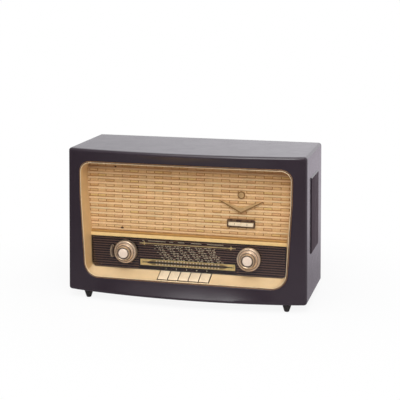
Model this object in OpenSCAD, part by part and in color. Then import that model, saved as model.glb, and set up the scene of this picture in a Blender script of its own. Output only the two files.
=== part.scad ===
// Table radio receiver: a bowed moulded case, a lit dial, wave keys and a valve chassis.
// Case coordinates: x to the right, y to the back from an upright datum plane a little behind
// the front corners, z up from the case's lower edge. in_frame() moves them to the model's own origin.

/* [Case] */
// Width of the case at its lower edge
case_w = 505; // [480:1:620]
// Height of the case without its feet
case_h = 301; // [280:1:360]
// Depth of the case from the datum plane to its back edge
case_d = 183; // [180:1:240]
// How far each side leans in between the bottom and the top
side_lean = 5.5; // [0:0.1:8]
// Wall thickness of the case
case_wall = 4; // [3:0.5:5]
// Radius along the outer edges of the case
edge_r = 6; // [4:0.5:8]
// How far the middle of the front stands before the datum plane at the top and bottom edges
front_swell = 42; // [34:1:50]
// How far the middle of the front stands before the datum plane at the rim of the opening
rim_swell = 27; // [26:0.5:30]
// How far the front stands before the datum plane where the cheeks begin
cheek_swell = 25; // [20:0.5:26]
// Width of each rounded cheek
cheek_w = 50; // [40:1:60]
// How far the cheeks stand before the datum plane at the corner itself
corner_swell = 13.4; // [1:0.1:16]

/* [Feet] */
// Height of each foot
foot_h = 16.5; // [8:0.5:20]
// Radius of a foot where it meets the case
foot_top_r = 10.5; // [8:0.5:14]
// Radius of a foot's tread
foot_tread_r = 5; // [4:0.5:9]
// Distance of the feet from the sides of the case
foot_inset = 41.5; // [30:0.5:70]

/* [Front opening] */
// Height of the case below the opening
bottom_band = 32.1; // [28:0.1:40]
// Height of the case above the opening
top_band = 24.5; // [18:0.1:30]
// Width of the case beside the opening
side_band = 31.2; // [26:0.1:40]
// How far the opening draws in at its lower corners
lower_draw = 7; // [0:0.5:16]
// Radius of the opening's upper corners
upper_r = 24; // [12:1:30]
// Radius of the opening's lower corners
lower_r = 33; // [20:1:44]
// Width of the metal bead around the opening
bead_w = 3.5; // [2.5:0.1:5]
// How far the bead stands proud of the rim
bead_proud = 1.2; // [0.5:0.1:2]
// Wall thickness of the bezel tray
tray_wall = 2.5; // [1.5:0.1:4]

/* [Dial] */
// Height of the dial's lower edge
dial_bottom = 47.9; // [42:0.1:50]
// Height of the dial's upper edge
dial_top = 114.6; // [100:0.1:120]
// Height of the rail between dial and cloth
rail_h = 12.4; // [8:0.1:16]
// Distance of the dial's face behind the datum plane
glass_y = 5.2; // [5:0.1:8]
// Thickness of the dial glass
glass_t = 3; // [2:0.1:3.2]
// Width of the scale strip
strip_w = 202; // [160:1:240]
// Height of the scale strip
strip_h = 13.2; // [8:0.1:20]
// Height of the strip's lower edge
strip_z = 56.9; // [50:0.1:60]
// Travel of the pointer
pointer_travel = 188; // [150:1:200]

/* [Knobs] */
// Distance of the knobs from the middle
knob_x = 130.65; // [128:0.05:150]
// Height of the knobs
knob_z = 85; // [78:0.1:86]
// Radius of the tuning knob
tuning_knob_r = 24.2; // [20:0.1:26]
// Radius of the volume knob
volume_knob_r = 23.4; // [20:0.1:24]
// Radius of the tone ring behind the volume knob
tone_ring_r = 25; // [24:0.1:26]
// How far the tone ring's finger tab reaches beyond the ring
tone_tab = 8; // [5:0.5:12]
// How far the knobs stand before the dial glass
knob_reach = 24.2; // [18:0.1:28]
// Radius of the knob caps
cap_r = 10.5; // [8:0.1:12]
// Radius of the metal collars round the caps
collar_r = 14.6; // [13:0.1:16]
// Radius of the knob shafts
shaft_r = 3; // [2.5:0.1:3.2]

/* [Wave keys] */
// Place of the keys to the right of the middle
key_x = -1.8; // [-4:0.1:4]
// Number of keys
key_count = 5; // [3:1:5]
// Width of one key
key_w = 20; // [16:0.5:22]
// Gap between two keys
key_gap = 1.7; // [1:0.1:3]
// How far a key tips when it is pressed, in degrees
key_tip = 5; // [3:0.5:6]
// How far the keys stand above the sill
key_proud = 1.2; // [0.5:0.1:3]

/* [Tone switch] */
// Place of the switch to the right of the middle
switch_x = 111.8; // [100:0.5:120]
// Height of the switch's middle
switch_z = 156.1; // [148:0.1:160]
// Width of the switch's frame
switch_w = 58; // [50:0.5:70]
// Height of the switch's frame
switch_h = 17; // [14:0.1:24]
// Travel of a switch key
switch_travel = 2.5; // [1:0.1:3]

/* [Ornament] */
// Half the span of the chevron
chevron_half = 46.3; // [30:0.1:50]
// Height of the chevron
chevron_h = 26; // [15:0.5:36]
// Depth of the chevron's web at its point
chevron_web = 12; // [4:0.5:12]
// Height of the chevron's point
chevron_z = 176.9; // [170:0.5:190]

/* [Speaker] */
// Place of the speaker to the left of the middle
speaker_x = 95; // [90:1:110]
// Radius of the speaker's frame
speaker_r = 74; // [60:1:74]

/* [Chassis] */
// Width of the chassis
chassis_w = 390; // [380:1:440]
// Depth of the chassis
chassis_d = 120; // [115:1:150]
// Height of the chassis deck above the case's lower edge
deck_z = 62; // [60:0.5:66]
// Sheet thickness
sheet_t = 1.5; // [1:0.1:2]
// Radius of the tuning drum
drum_r = 60; // [60:0.5:66]
// Radius of the part of the tuning shaft that the drum cord wraps
wind_r = 4; // [3.5:0.1:5]
// Place of the drum to the right of the middle
drum_x = 60; // [55:1:60]
// Height of the drum's shaft
drum_z = 104; // [103:1:110]

/* [Fits] */
// Radial clearance of a turning shaft in its bearing
run_fit = 0.05; // [0.01:0.01:0.1]
// Gap between neighbours that only lie beside each other
side_gap = 0.3; // [0.1:0.05:0.5]

/* [Hidden] */
$fn = 48;

// Case
half_w = case_w / 2;
front_steps = 28;
swell_inner = half_w - cheek_w;
boss_r = 5;
boss_out = 11;
pilot_r = 1.6;
pad_t = 2.2;
pad_slope = 2.6;
pad_y = [38, 129];
pad_z = [94.4, case_h - 48.4];
foot_y = [-5, case_d - 20];
// Opening
open_top = case_h - top_band;
open_half = half_w - side_band;
bend_r = 60;
bend_z = open_top - 69;
slip = 0.1;
tray_out = bead_w + 2 * slip;
tray_in = tray_out + tray_wall;
glass_in = tray_in + side_gap;
// Layers behind the front, by distance from the datum plane
mask_t = 0.4;
pointer_room = 3.4;
board_y = glass_y + glass_t + mask_t + pointer_room;
board_t = 8;
board_back = board_y + board_t;
cloth_t = 1;
cloth_y = board_y - cloth_t;
plate_t = 1.2;
rail_y = glass_y - 1;
rail_top = dial_top + rail_h;
board_bottom = dial_top + 5.2;
frame_y = cloth_y - 3;
pointer_y = glass_y + glass_t + mask_t + side_gap + 1.1;
wire_z = dial_top - 6;
wire_half = pointer_travel / 2 + 10;
lamp_x = 176;
lamp_z = wire_z - 14;
lamp_r = 4.5;
cloth_mid = (rail_top + open_top - bead_w) / 2;
// Wave keys
key_pitch = key_w + key_gap;
keys_half = (key_count * key_pitch - key_gap) / 2;
slot_half = keys_half + 2;
key_pivot = [board_back + 16, 30];
key_front = -(rim_swell - case_wall) + 1.6;
key_back = glass_y - 1.2;
sill_front = bottom_band + bead_w + slip;
sill_rise = (dial_bottom - sill_front) / (glass_y + rim_swell);
key_shaft_r = 2;
key_frame_wall = 1.5;
key_frame_half = slot_half + 5;
// Knobs
knob_front = glass_y - knob_reach;
knob_gap = 1.2;
tone_back = rail_y - side_gap;
tone_front = tone_back - 3.6;
tone_tube_r = shaft_r + 2;
bush_r = shaft_r + 2.5;
hole_r = tone_tube_r + 2;
pot_r = 14;
// Tone switch and speaker
well_half = switch_w / 2 - 3;
well_low = 5;
well_high = 3;
switch_deep = 9;
switch_key_l = 20;
stud_rise = 12;
basket_depth = 42;
// Tuning
drum_y = [board_back + 10, board_back + 16];
flywheel_y = [board_back, board_back + 7];
flywheel_r = 18;
plate_count = 6;
plate_pitch = 6;
condenser_half = 25;
// Chassis
chassis_y = board_back + 25;
chassis_foot = 12;
chassis_back = chassis_y + chassis_d;
condenser_y = [chassis_y + 5, chassis_y + 53];
mains_x = -160;
core_half = 38;
core_h = 64;
core_y = [chassis_y + 21, chassis_y + 55];
core_limb = 13;
window_w = 14;
window_z = [deck_z + 13, deck_z + 51];
output_at = [-92, chassis_y + 23];
valve_spots = [[-165, 148, 66], [-60, 140, 66], [-25, 92, 48], [30, 145, 48], [118, 135, 52], [165, 105, 48]];
can_spots = [[-5, 128, 12, 52], [60, 122, 12, 52], [-108, 142, 17, 70]];
socket_h = 4;
valve_r = 11;
aerial_x = [60, 190];
aerial_at = [158, 132];
// Back
cover_t = 3;
cover_y = case_d - 1 - cover_t;
lug = 14;
lug_l = 30;
lug_inset = 7;
screw_r = 1.5;
chassis_screw_r = 2;
chassis_screw_in = 8;
socket_cut = [-70, 110, 18, 54];
grommet_at = [-175, 34];

function half_at(z) = half_w - side_lean * z / case_h;

// Distance of the front before the datum plane, at x measured on the case's full width
function swell_at(x, swell) =
    let (a = abs(x), t = max(0, (a - swell_inner) / cheek_w), bow = swell - cheek_swell,
         start = 2 * (front_swell - cheek_swell) * cheek_w / swell_inner,
         fall = cheek_swell - corner_swell)
    a <= swell_inner
        ? swell - bow * pow(a / swell_inner, 2)
        : cheek_swell - start * t - (fall - start) * t * t;

function front_xs() = [for (i = [0 : front_steps]) -half_w + 2 * half_w * i / front_steps];

// One level of the case: z, how far it is drawn in, the swell of its front and its back edge
function ring(z, inset, swell, back) =
    let (k = (half_at(z) - inset) / half_w)
    concat([for (x = front_xs()) [x * k, inset - swell_at(x, swell), z]],
           [[half_w * k, back, z], [-half_w * k, back, z]]);

module loft(levels) {
    n = len(levels[0]);
    m = len(levels);
    sides = [for (j = [0 : m - 2], i = [0 : n - 1], half = [0, 1])
        let (a = j * n + i, b = j * n + (i + 1) % n)
        half == 0 ? [a, a + n, b] : [b, a + n, b + n]];
    caps = [for (i = [1 : n - 2], end = [0, 1])
        end == 0 ? [0, i, i + 1] : [(m - 1) * n, (m - 1) * n + i + 1, (m - 1) * n + i]];
    polyhedron(points = [for (level = levels, p = level) p], faces = concat(sides, caps));
}

function edge_steps() = [0, 30, 60, 90];

function outer_levels() = concat(
    [for (a = edge_steps()) ring(edge_r * (1 - cos(a)), edge_r * (1 - sin(a)), front_swell, case_d)],
    [ring(bottom_band, 0, rim_swell, case_d), ring(open_top, 0, rim_swell, case_d)],
    [for (a = [90, 60, 30, 0])
        ring(case_h - edge_r * (1 - cos(a)), edge_r * (1 - sin(a)), front_swell, case_d)]);

function inner_levels(wall, back) = [
    ring(wall, wall, front_swell, back),
    ring(bottom_band, wall, rim_swell, back),
    ring(open_top, wall, rim_swell, back),
    ring(case_h - wall, wall, front_swell, back)];

module in_frame() {
    translate([0, (front_swell - case_d) / 2, foot_h]) children();
}

// Extrudes a front view, drawn in x and z, from one y to another
module front_view(y0, y1) {
    translate([0, y1, 0]) rotate([90, 0, 0]) linear_extrude(y1 - y0) children();
}

// Extrudes a side view, drawn in y and z, from one x to another
module side_view(x0, x1) {
    translate([x0, 0, 0]) rotate([90, 0, 90]) linear_extrude(x1 - x0) children();
}

// Turns a piece drawn along z to run back along y from a point of the front view
module along_y(x, z, y0) {
    translate([x, y0, z]) rotate([-90, 0, 0]) children();
}

module rod_y(x, z, y0, y1, r) {
    along_y(x, z, y0) cylinder(r = r, h = y1 - y0);
}

module block(x0, x1, y0, y1, z0, z1) {
    translate([x0, y0, z0]) cube([x1 - x0, y1 - y0, z1 - z0]);
}

// The outline of the front opening, drawn in by an inset
module opening(inset = 0) {
    hull() for (side = [-1, 1]) {
        translate([side * (open_half - upper_r), open_top - upper_r]) circle(upper_r - inset);
        translate([side * (open_half - bend_r), bend_z]) circle(bend_r - inset);
        translate([side * (open_half - lower_draw - lower_r), bottom_band + lower_r])
            circle(lower_r - inset);
    }
}

module opening_slice(inset, z0, z1) {
    intersection() {
        opening(inset);
        translate([-half_w, z0]) square([case_w, z1 - z0]);
    }
}

// All that lies between the rim's curve, moved back by one distance, and a flat or curved back
module behind_rim(from, back) {
    linear_extrude(case_h) polygon(concat(
        [for (x = front_xs()) [x, from - swell_at(x, rim_swell)]], [[half_w, back], [-half_w, back]]));
}

// A curved band that follows the rim, between two distances from it
module rim_band(from, to) {
    xs = front_xs();
    linear_extrude(case_h) polygon(concat(
        [for (x = xs) [x, from - swell_at(x, rim_swell)]],
        [for (i = [front_steps : -1 : 0]) [xs[i], to - swell_at(xs[i], rim_swell)]]));
}

// Places
function foot_places() = [for (sx = [-1, 1], y = foot_y)
    [sx * (half_w - foot_inset), y]];
function board_screws() = [for (sx = [-1, 1], z = [board_bottom + 12, open_top - 24])
    [sx * (open_half + boss_out), z]];
function cover_places() = [for (sx = [-1, 1], z = [case_wall + lug_inset, case_h - case_wall - lug_inset])
    [sx * (half_at(z) - case_wall - lug_inset), z]];
function chassis_places() =
    [for (sx = [-1, 1], y = [chassis_y + chassis_screw_in, chassis_back - chassis_screw_in])
        [sx * (chassis_w / 2 - chassis_screw_in), y]];
function speaker_places() = [for (a = [45 : 90 : 315])
    [-speaker_x + (speaker_r - 4) * cos(a), cloth_mid + (speaker_r - 4) * sin(a)]];

module case_shell() {
    color([0.2, 0.17, 0.19]) in_frame() {
        difference() {
            loft(outer_levels());
            loft(inner_levels(case_wall, case_d + 10));
            front_view(-front_swell - 10, chassis_y - 10) opening();
            for (p = foot_places())
                translate([p[0], p[1], -1]) cylinder(r = 2.5 + run_fit, h = case_wall + 2);
            for (p = chassis_places())
                translate([p[0], p[1], -1]) cylinder(r = chassis_screw_r + 0.2, h = case_wall + 2);
        }
        for (sx = [-1, 1]) side_pad(sx);
        for (p = board_screws()) difference() {
            intersection() {
                rod_y(p[0], p[1], -rim_swell, board_y, boss_r);
                loft(inner_levels(case_wall - 0.5, case_d));
            }
            rod_y(p[0], p[1], board_y - 12, board_y + 1, pilot_r);
        }
        for (p = cover_places()) difference() {
            corner_lug(p);
            rod_y(p[0], p[1], cover_y - 14, cover_y + 1, pilot_r);
        }
        for (p = chassis_places()) difference() {
            translate([p[0], p[1], case_wall - 0.5]) cylinder(r = 6, h = chassis_foot - case_wall + 0.5);
            translate([p[0], p[1], 0]) cylinder(r = chassis_screw_r + 0.2, h = chassis_foot + 1);
        }
    }
}

// A lug that fills a back corner of the case around a screw of the back cover
module corner_lug(p) {
    sz = p[1] < case_h / 2 ? -1 : 1;
    intersection() {
        translate([p[0] + sign(p[0]) * lug / 4, cover_y - lug_l / 2, p[1] + sz * lug / 4])
            cube([1.5 * lug, lug_l, 1.5 * lug], center = true);
        loft(inner_levels(case_wall - 0.5, case_d));
    }
}

// The raised pad on one side, with sloping upper and lower edges
module side_pad(sx) {
    low = pad_z[0];
    high = pad_z[1];
    front_view(pad_y[0], pad_y[1]) polygon([for (p = [[-2, low], [0, low], [pad_t, low + pad_slope],
        [pad_t, high - pad_slope], [0, high], [-2, high]])
        [sx * (half_at(p[1]) + p[0]), p[1]]]);
}

module feet() {
    color([0.13, 0.12, 0.13]) in_frame() for (p = foot_places()) {
        translate([p[0], p[1], -foot_h]) cylinder(r1 = foot_tread_r, r2 = foot_top_r, h = foot_h);
        translate([p[0], p[1], 0]) cylinder(r = 2.5, h = case_wall - 0.5);
    }
}

module opening_trim() {
    color([0.62, 0.48, 0.3]) in_frame() intersection() {
        rim_band(-bead_proud, case_wall - 0.5);
        difference() {
            front_view(-front_swell, 0) opening(slip);
            front_view(-front_swell - 1, 1) opening(slip + bead_w);
        }
    }
}

module bezel_tray() {
    color([0.86, 0.78, 0.62]) in_frame() difference() {
        intersection() {
            behind_rim(side_gap, board_y);
            union() {
                difference() {
                    front_view(-front_swell, board_y) opening(tray_out);
                    front_view(-front_swell - 1, board_y + 1) opening(tray_in);
                }
                intersection() {
                    front_view(-front_swell, board_y) opening(tray_out);
                    side_view(-half_w, half_w) polygon([
                        [-rim_swell - 1, sill_front - 5], [-rim_swell, sill_front],
                        [glass_y - slip, dial_bottom], [glass_y - slip, dial_bottom - side_gap],
                        [board_y, dial_bottom - side_gap], [board_y, sill_front - 5]]);
                }
            }
        }
        block(key_x - slot_half, key_x + slot_half, -front_swell, board_y + 1, 0, dial_bottom + 1);
    }
}

module dial_rail() {
    color([0.8, 0.68, 0.42]) in_frame()
        front_view(rail_y, cloth_y) opening_slice(glass_in, dial_top, rail_top);
}

// The slot that the tone switch's keys slide in, back to a given y
module switch_well(back) {
    block(switch_x - well_half, switch_x + well_half, 0, back, switch_z - well_low, switch_z + well_high);
}

module grille_cloth() {
    color([0.8, 0.68, 0.48]) in_frame() difference() {
        front_view(cloth_y, board_y) opening_slice(glass_in, board_bottom, open_top);
        switch_well(board_back);
    }
}

module baffle_board() {
    color([0.55, 0.4, 0.25]) in_frame() difference() {
        block(-open_half - 17, open_half + 17, board_y, board_y + board_t, board_bottom, open_top + 10);
        rod_y(-speaker_x, cloth_mid, 0, board_back + 1, speaker_r - 12);
        switch_well(board_back + 1);
        for (p = board_screws()) rod_y(p[0], p[1], 0, 30, screw_r + 0.2);
        for (p = speaker_places()) rod_y(p[0], p[1], 0, 30, screw_r);
    }
}

module knob_holes(r) {
    for (sx = [-1, 1]) rod_y(sx * knob_x, knob_z, 0, board_y + 5, r);
}

module dial_glass() {
    color([0.25, 0.24, 0.24, 0.6]) in_frame() difference() {
        front_view(glass_y, glass_y + glass_t) opening_slice(glass_in, dial_bottom, dial_top - side_gap);
        knob_holes(hole_r);
    }
}

module dial_mask() {
    color([0.15, 0.14, 0.14]) in_frame() difference() {
        front_view(glass_y + glass_t, glass_y + glass_t + mask_t)
            opening_slice(glass_in + 1, dial_bottom + 0.5, dial_top - 1);
        knob_holes(hole_r);
        block(-strip_w / 2, strip_w / 2, 0, 20, strip_z, strip_z + strip_h);
    }
}

module scale_strip() {
    color([0.72, 0.6, 0.36]) in_frame()
        block(-strip_w / 2 + slip, strip_w / 2 - slip, glass_y + glass_t, glass_y + glass_t + mask_t,
              strip_z + slip, strip_z + strip_h - slip);
}

module dial_backplate() {
    color([0.75, 0.75, 0.72]) in_frame() {
        difference() {
            front_view(board_y, board_y + plate_t)
                opening_slice(tray_out + 0.5, sill_front + 3, dial_top - 1.5);
            block(key_x - slot_half - 1, key_x + slot_half + 1, 0, 30, 0, dial_bottom + 1.5);
            rod_y(-knob_x, knob_z, 0, 30, hole_r);
            rod_y(knob_x, knob_z, 0, 30, bush_r + run_fit);
            for (sx = [-1, 1]) rod_y(sx * lamp_x, lamp_z, 0, 30, lamp_r);
        }
        for (sx = [-1, 1]) {
            block(sx * (wire_half + 1) - 1, sx * (wire_half + 1) + 1, pointer_y - 1.4, board_y + 0.1,
                  wire_z - 3, wire_z + 3);
            difference() {
                rod_y(sx * lamp_x, lamp_z, board_y + plate_t - 0.1, board_y + plate_t + 12, lamp_r + 1.5);
                rod_y(sx * lamp_x, lamp_z, 0, 40, lamp_r);
            }
        }
        translate([-wire_half, pointer_y, wire_z]) rotate([0, 90, 0]) cylinder(r = 1, h = 2 * wire_half);
    }
}

module pointer() {
    color([0.85, 0.3, 0.15]) in_frame() {
        block(-0.5, 0.5, pointer_y - 0.8, pointer_y, strip_z - 2, wire_z - 2);
        difference() {
            block(-6, 6, pointer_y - 1.1, pointer_y + 1.4, wire_z - 3, wire_z + 3);
            translate([-7, pointer_y, wire_z]) rotate([0, 90, 0]) cylinder(r = 1 + run_fit, h = 14);
        }
    }
}

module dial_lamps() {
    color([0.9, 0.88, 0.75]) in_frame() for (sx = [-1, 1]) {
        rod_y(sx * lamp_x, lamp_z, pointer_y + 3, board_y + plate_t + 14, lamp_r - run_fit);
        translate([sx * lamp_x, pointer_y + 3, lamp_z]) sphere(r = lamp_r - 1.5);
    }
}

module switch_frame() {
    color([0.8, 0.7, 0.45]) in_frame() difference() {
        block(switch_x - switch_w / 2, switch_x + switch_w / 2, frame_y, cloth_y,
              switch_z - switch_h / 2, switch_z + switch_h / 2);
        switch_well(board_back);
    }
}

// One key of the tone switch, with its face at a given distance from the datum plane
module switch_key(sx, face_y) {
    mid = switch_x + sx * well_half / 2;
    reach = well_half / 2 - side_gap;
    block(mid - reach, mid + reach, face_y, face_y + switch_key_l,
          switch_z - well_low + side_gap, switch_z + well_high - side_gap);
}

module tone_key_left() {
    color([0.88, 0.84, 0.72]) in_frame() switch_key(-1, frame_y - 0.6);
}

module tone_key_right() {
    color([0.88, 0.84, 0.72]) in_frame() switch_key(1, frame_y - 0.6 - switch_travel);
}

module tone_switch() {
    color([0.35, 0.25, 0.18]) in_frame() difference() {
        block(switch_x - switch_w / 2 - 2, switch_x + switch_w / 2 + 2, board_back,
              board_back + switch_deep, switch_z - 12, switch_z + 10);
        switch_well(board_back + switch_deep - 1);
    }
}

module chevron() {
    color([0.84, 0.7, 0.42]) in_frame() front_view(frame_y, cloth_y) polygon([
        [switch_x, chevron_z], [switch_x + chevron_half, chevron_z + chevron_h],
        [switch_x + chevron_half - 4, chevron_z + chevron_h], [switch_x, chevron_z + chevron_web],
        [switch_x - chevron_half + 4, chevron_z + chevron_h],
        [switch_x - chevron_half, chevron_z + chevron_h]]);
}

module plain_stud() {
    color([0.84, 0.7, 0.42]) in_frame() along_y(switch_x, chevron_z + chevron_h + stud_rise, frame_y)
        rotate_extrude() polygon([[0, 0], [4, 0], [7.5, 1.2], [7.5, 3], [0, 3]]);
}

// A turned knob body: flange, waist and hub, open at the back for its shaft
module knob_body(x, r, back) {
    along_y(x, knob_z, knob_front) difference() {
        rotate_extrude() polygon([
            [0, 5.9], [collar_r, 5.9], [collar_r + 0.4, 8], [r - 5, 12.4], [r - 4, 14],
            [r - 1, 14.5], [r, 15.5], [r, back - knob_front], [0, back - knob_front]]);
        translate([0, 0, 8]) cylinder(r = shaft_r + run_fit, h = 40);
    }
}

module knob_collar(x) {
    along_y(x, knob_z, knob_front + 0.7) difference() {
        cylinder(r1 = collar_r - 0.6, r2 = collar_r, h = 5.2);
        translate([0, 0, -1]) cylinder(r = cap_r + run_fit, h = 20);
    }
}

module knob_cap(x) {
    along_y(x, knob_z, knob_front) rotate_extrude()
        polygon([[0, 0], [cap_r - 2, 0.4], [cap_r, 1.4], [cap_r, 5.9], [0, 5.9]]);
}

module tuning_knob() {
    color([0.82, 0.74, 0.58]) in_frame() knob_body(knob_x, tuning_knob_r, glass_y - knob_gap);
}

module tuning_knob_collar() {
    color([0.75, 0.6, 0.35]) in_frame() knob_collar(knob_x);
}

module tuning_knob_cap() {
    color([0.93, 0.9, 0.82]) in_frame() knob_cap(knob_x);
}

module volume_knob() {
    color([0.82, 0.74, 0.58]) in_frame() knob_body(-knob_x, volume_knob_r, tone_front - 0.6);
}

module volume_knob_collar() {
    color([0.75, 0.6, 0.35]) in_frame() knob_collar(-knob_x);
}

module volume_knob_cap() {
    color([0.93, 0.9, 0.82]) in_frame() knob_cap(-knob_x);
}

module volume_shaft() {
    color([0.7, 0.7, 0.72]) in_frame() rod_y(-knob_x, knob_z, knob_front + 8.5, board_y + 18, shaft_r);
}

module volume_control() {
    color([0.6, 0.6, 0.6]) in_frame() difference() {
        rod_y(-knob_x, knob_z, board_y + plate_t, board_y + plate_t + 22, pot_r);
        rod_y(-knob_x, knob_z, 0, board_y + 9, tone_tube_r + run_fit);
        rod_y(-knob_x, knob_z, 0, board_y + 19, shaft_r + run_fit);
    }
}

module tone_ring() {
    color([0.82, 0.74, 0.58]) in_frame() difference() {
        union() {
            rod_y(-knob_x, knob_z, tone_front, tone_back, tone_ring_r);
            intersection() {
                rod_y(-knob_x, knob_z, tone_front - 5, tone_back, tone_ring_r + tone_tab);
                block(-knob_x - 60, -knob_x - 20, -20, 20, knob_z - 13.5, knob_z + 13.5);
            }
        }
        rod_y(-knob_x, knob_z, -20, tone_front, volume_knob_r + 1);
        rod_y(-knob_x, knob_z, -20, 20, tone_tube_r + run_fit);
    }
}

module tone_shaft() {
    color([0.7, 0.7, 0.72]) in_frame() difference() {
        rod_y(-knob_x, knob_z, tone_front, board_y + 8, tone_tube_r);
        rod_y(-knob_x, knob_z, -20, 40, shaft_r + run_fit);
    }
}

module tuning_shaft() {
    color([0.7, 0.7, 0.72]) in_frame() {
        rod_y(knob_x, knob_z, knob_front + 8.5, drum_y[1] + 3, shaft_r);
        rod_y(knob_x, knob_z, flywheel_y[1] - 1, drum_y[1] + 1, wind_r);
        rod_y(knob_x, knob_z, flywheel_y[0], flywheel_y[1], flywheel_r);
    }
}

module tuning_bush() {
    color([0.7, 0.55, 0.3]) in_frame() difference() {
        union() {
            rod_y(knob_x, knob_z, glass_y + glass_t + 1, flywheel_y[0] - 1, bush_r);
            rod_y(knob_x, knob_z, board_y + plate_t, board_y + plate_t + 2, 9);
        }
        rod_y(knob_x, knob_z, 0, 30, shaft_r + run_fit);
    }
}

module tuning_drum() {
    color([0.85, 0.83, 0.75]) in_frame() along_y(drum_x, drum_z, drum_y[0]) difference() {
        rotate_extrude() polygon([
            [0, -2], [9, -2], [9, 1.5], [drum_r - 6, 1.5], [drum_r - 6, 0], [drum_r, 0],
            [drum_r - 1.5, 2], [drum_r - 1.5, 4], [drum_r, 6], [drum_r - 6, 6], [drum_r - 6, 4.5],
            [9, 4.5], [9, 10], [0, 10]]);
        translate([0, 0, -3]) cylinder(r = shaft_r + run_fit, h = 20);
    }
}

// Half discs on a shaft, or standing between them
module half_plates(count, first_y, r, bore, lower) {
    for (i = [0 : count - 1]) intersection() {
        difference() {
            rod_y(drum_x, drum_z, first_y + i * plate_pitch, first_y + i * plate_pitch + 1, r);
            rod_y(drum_x, drum_z, 0, 200, bore);
        }
        block(drum_x - 40, drum_x + (lower ? 40 : 0), 0, 200, drum_z - 40, drum_z + (lower ? 0 : 40));
    }
}

module capacitor_rotor() {
    color([0.78, 0.78, 0.8]) in_frame() {
        rod_y(drum_x, drum_z, drum_y[0] - 1, condenser_y[1] - 0.5, shaft_r);
        half_plates(plate_count, condenser_y[0] + 8.5, 20, 1, false);
    }
}

module capacitor_frame() {
    color([0.7, 0.7, 0.68]) in_frame() difference() {
        union() {
            for (y = [condenser_y[0], condenser_y[1] - 2])
                block(drum_x - condenser_half, drum_x + condenser_half, y, y + 2,
                      deck_z, drum_z + condenser_half);
            block(drum_x - condenser_half, drum_x + condenser_half, condenser_y[0], condenser_y[1],
                  drum_z - condenser_half - 2, drum_z - condenser_half);
        }
        rod_y(drum_x, drum_z, 0, 200, shaft_r + run_fit);
    }
}

module capacitor_stator() {
    color([0.8, 0.78, 0.7]) in_frame() {
        half_plates(plate_count + 1, condenser_y[0] + 5.5, 22, shaft_r + 2.5, true);
        block(drum_x - 3, drum_x + 3, condenser_y[0] + 5.5, condenser_y[0] + 6.5 + plate_count * plate_pitch,
              drum_z - condenser_half, drum_z - 21);
    }
}

// Height of a key's top face above a given y
function key_top(y) = sill_front + key_proud + (y + rim_swell) * sill_rise;

module wave_key(number) {
    mid = key_x + (number - (key_count + 1) / 2) * key_pitch;
    color([0.93, 0.89, 0.8]) in_frame() difference() {
        union() {
            side_view(mid - key_w / 2, mid + key_w / 2) polygon([
                [key_front, sill_front - 5], [key_front, key_top(key_front) - 2],
                [key_front + 2, key_top(key_front + 2)], [key_back, key_top(key_back)],
                [key_back + 0.2, dial_bottom - 4], [key_back + 0.2, sill_front - 5]]);
            side_view(mid - key_w / 2 + 5, mid + key_w / 2 - 5) polygon([
                [key_back - 1, dial_bottom - 5], [board_y + 6, dial_bottom - 6],
                [key_pivot[0], key_pivot[1] + 4], [key_pivot[0], key_pivot[1] - 4],
                [key_back - 1, sill_front - 5]]);
            translate([mid - key_w / 2, key_pivot[0], key_pivot[1]]) rotate([0, 90, 0])
                cylinder(r = 5, h = key_w);
        }
        translate([mid - key_w, key_pivot[0], key_pivot[1]]) rotate([0, 90, 0])
            cylinder(r = key_shaft_r + run_fit, h = 2 * key_w);
    }
}

module key_shaft() {
    color([0.7, 0.7, 0.72]) in_frame()
        translate([key_x - key_frame_half, key_pivot[0], key_pivot[1]]) rotate([0, 90, 0])
            cylinder(r = key_shaft_r, h = 2 * key_frame_half);
}

module key_frame() {
    color([0.65, 0.65, 0.62]) in_frame() difference() {
        union() {
            for (sx = [-1, 1])
                block(key_x + sx * (key_frame_half - 2) - 0.75, key_x + sx * (key_frame_half - 2) + 0.75,
                      key_pivot[0] - 10, chassis_y, chassis_foot + 1, key_pivot[1] + 8);
            block(key_x - key_frame_half + 2, key_x + key_frame_half - 2, chassis_y - key_frame_wall,
                  chassis_y, chassis_foot + 1, key_pivot[1] + 8);
        }
        translate([key_x - key_frame_half - 5, key_pivot[0], key_pivot[1]]) rotate([0, 90, 0])
            cylinder(r = key_shaft_r + run_fit, h = 2 * key_frame_half + 10);
    }
}

module speaker_frame() {
    color([0.45, 0.45, 0.47]) in_frame() difference() {
        along_y(-speaker_x, cloth_mid, board_back) rotate_extrude() polygon([
            [speaker_r - 12, 0], [speaker_r, 0], [speaker_r, 2], [speaker_r - 9, 2],
            [32, basket_depth], [0, basket_depth], [0, basket_depth - 2], [30.5, basket_depth - 2],
            [speaker_r - 12, 1.5]]);
        for (a = [0 : 90 : 270]) along_y(-speaker_x, cloth_mid, board_back + 6) rotate([0, 0, a])
            rotate([0, 0, 22]) linear_extrude(basket_depth - 12)
                polygon([[20, -9], [90, -24], [90, 24], [20, 9]]);
        for (p = speaker_places()) rod_y(p[0], p[1], 0, 60, screw_r + 0.2);
    }
}

module speaker_cone() {
    color([0.12, 0.12, 0.13]) in_frame() along_y(-speaker_x, cloth_mid, board_back) rotate_extrude()
        polygon([[speaker_r - 13, 0.3], [speaker_r - 13, 1.3], [16, basket_depth - 9],
                 [14, basket_depth - 2], [0, basket_depth - 2], [0, basket_depth - 12],
                 [12, basket_depth - 11], [speaker_r - 16, 0.3]]);
}

module speaker_magnet() {
    color([0.5, 0.5, 0.52]) in_frame() along_y(-speaker_x, cloth_mid, board_back + basket_depth)
        rotate_extrude() polygon([[0, 0], [30, 0], [30, 4], [24, 4], [24, 24], [30, 24], [30, 28], [0, 28]]);
}

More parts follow.
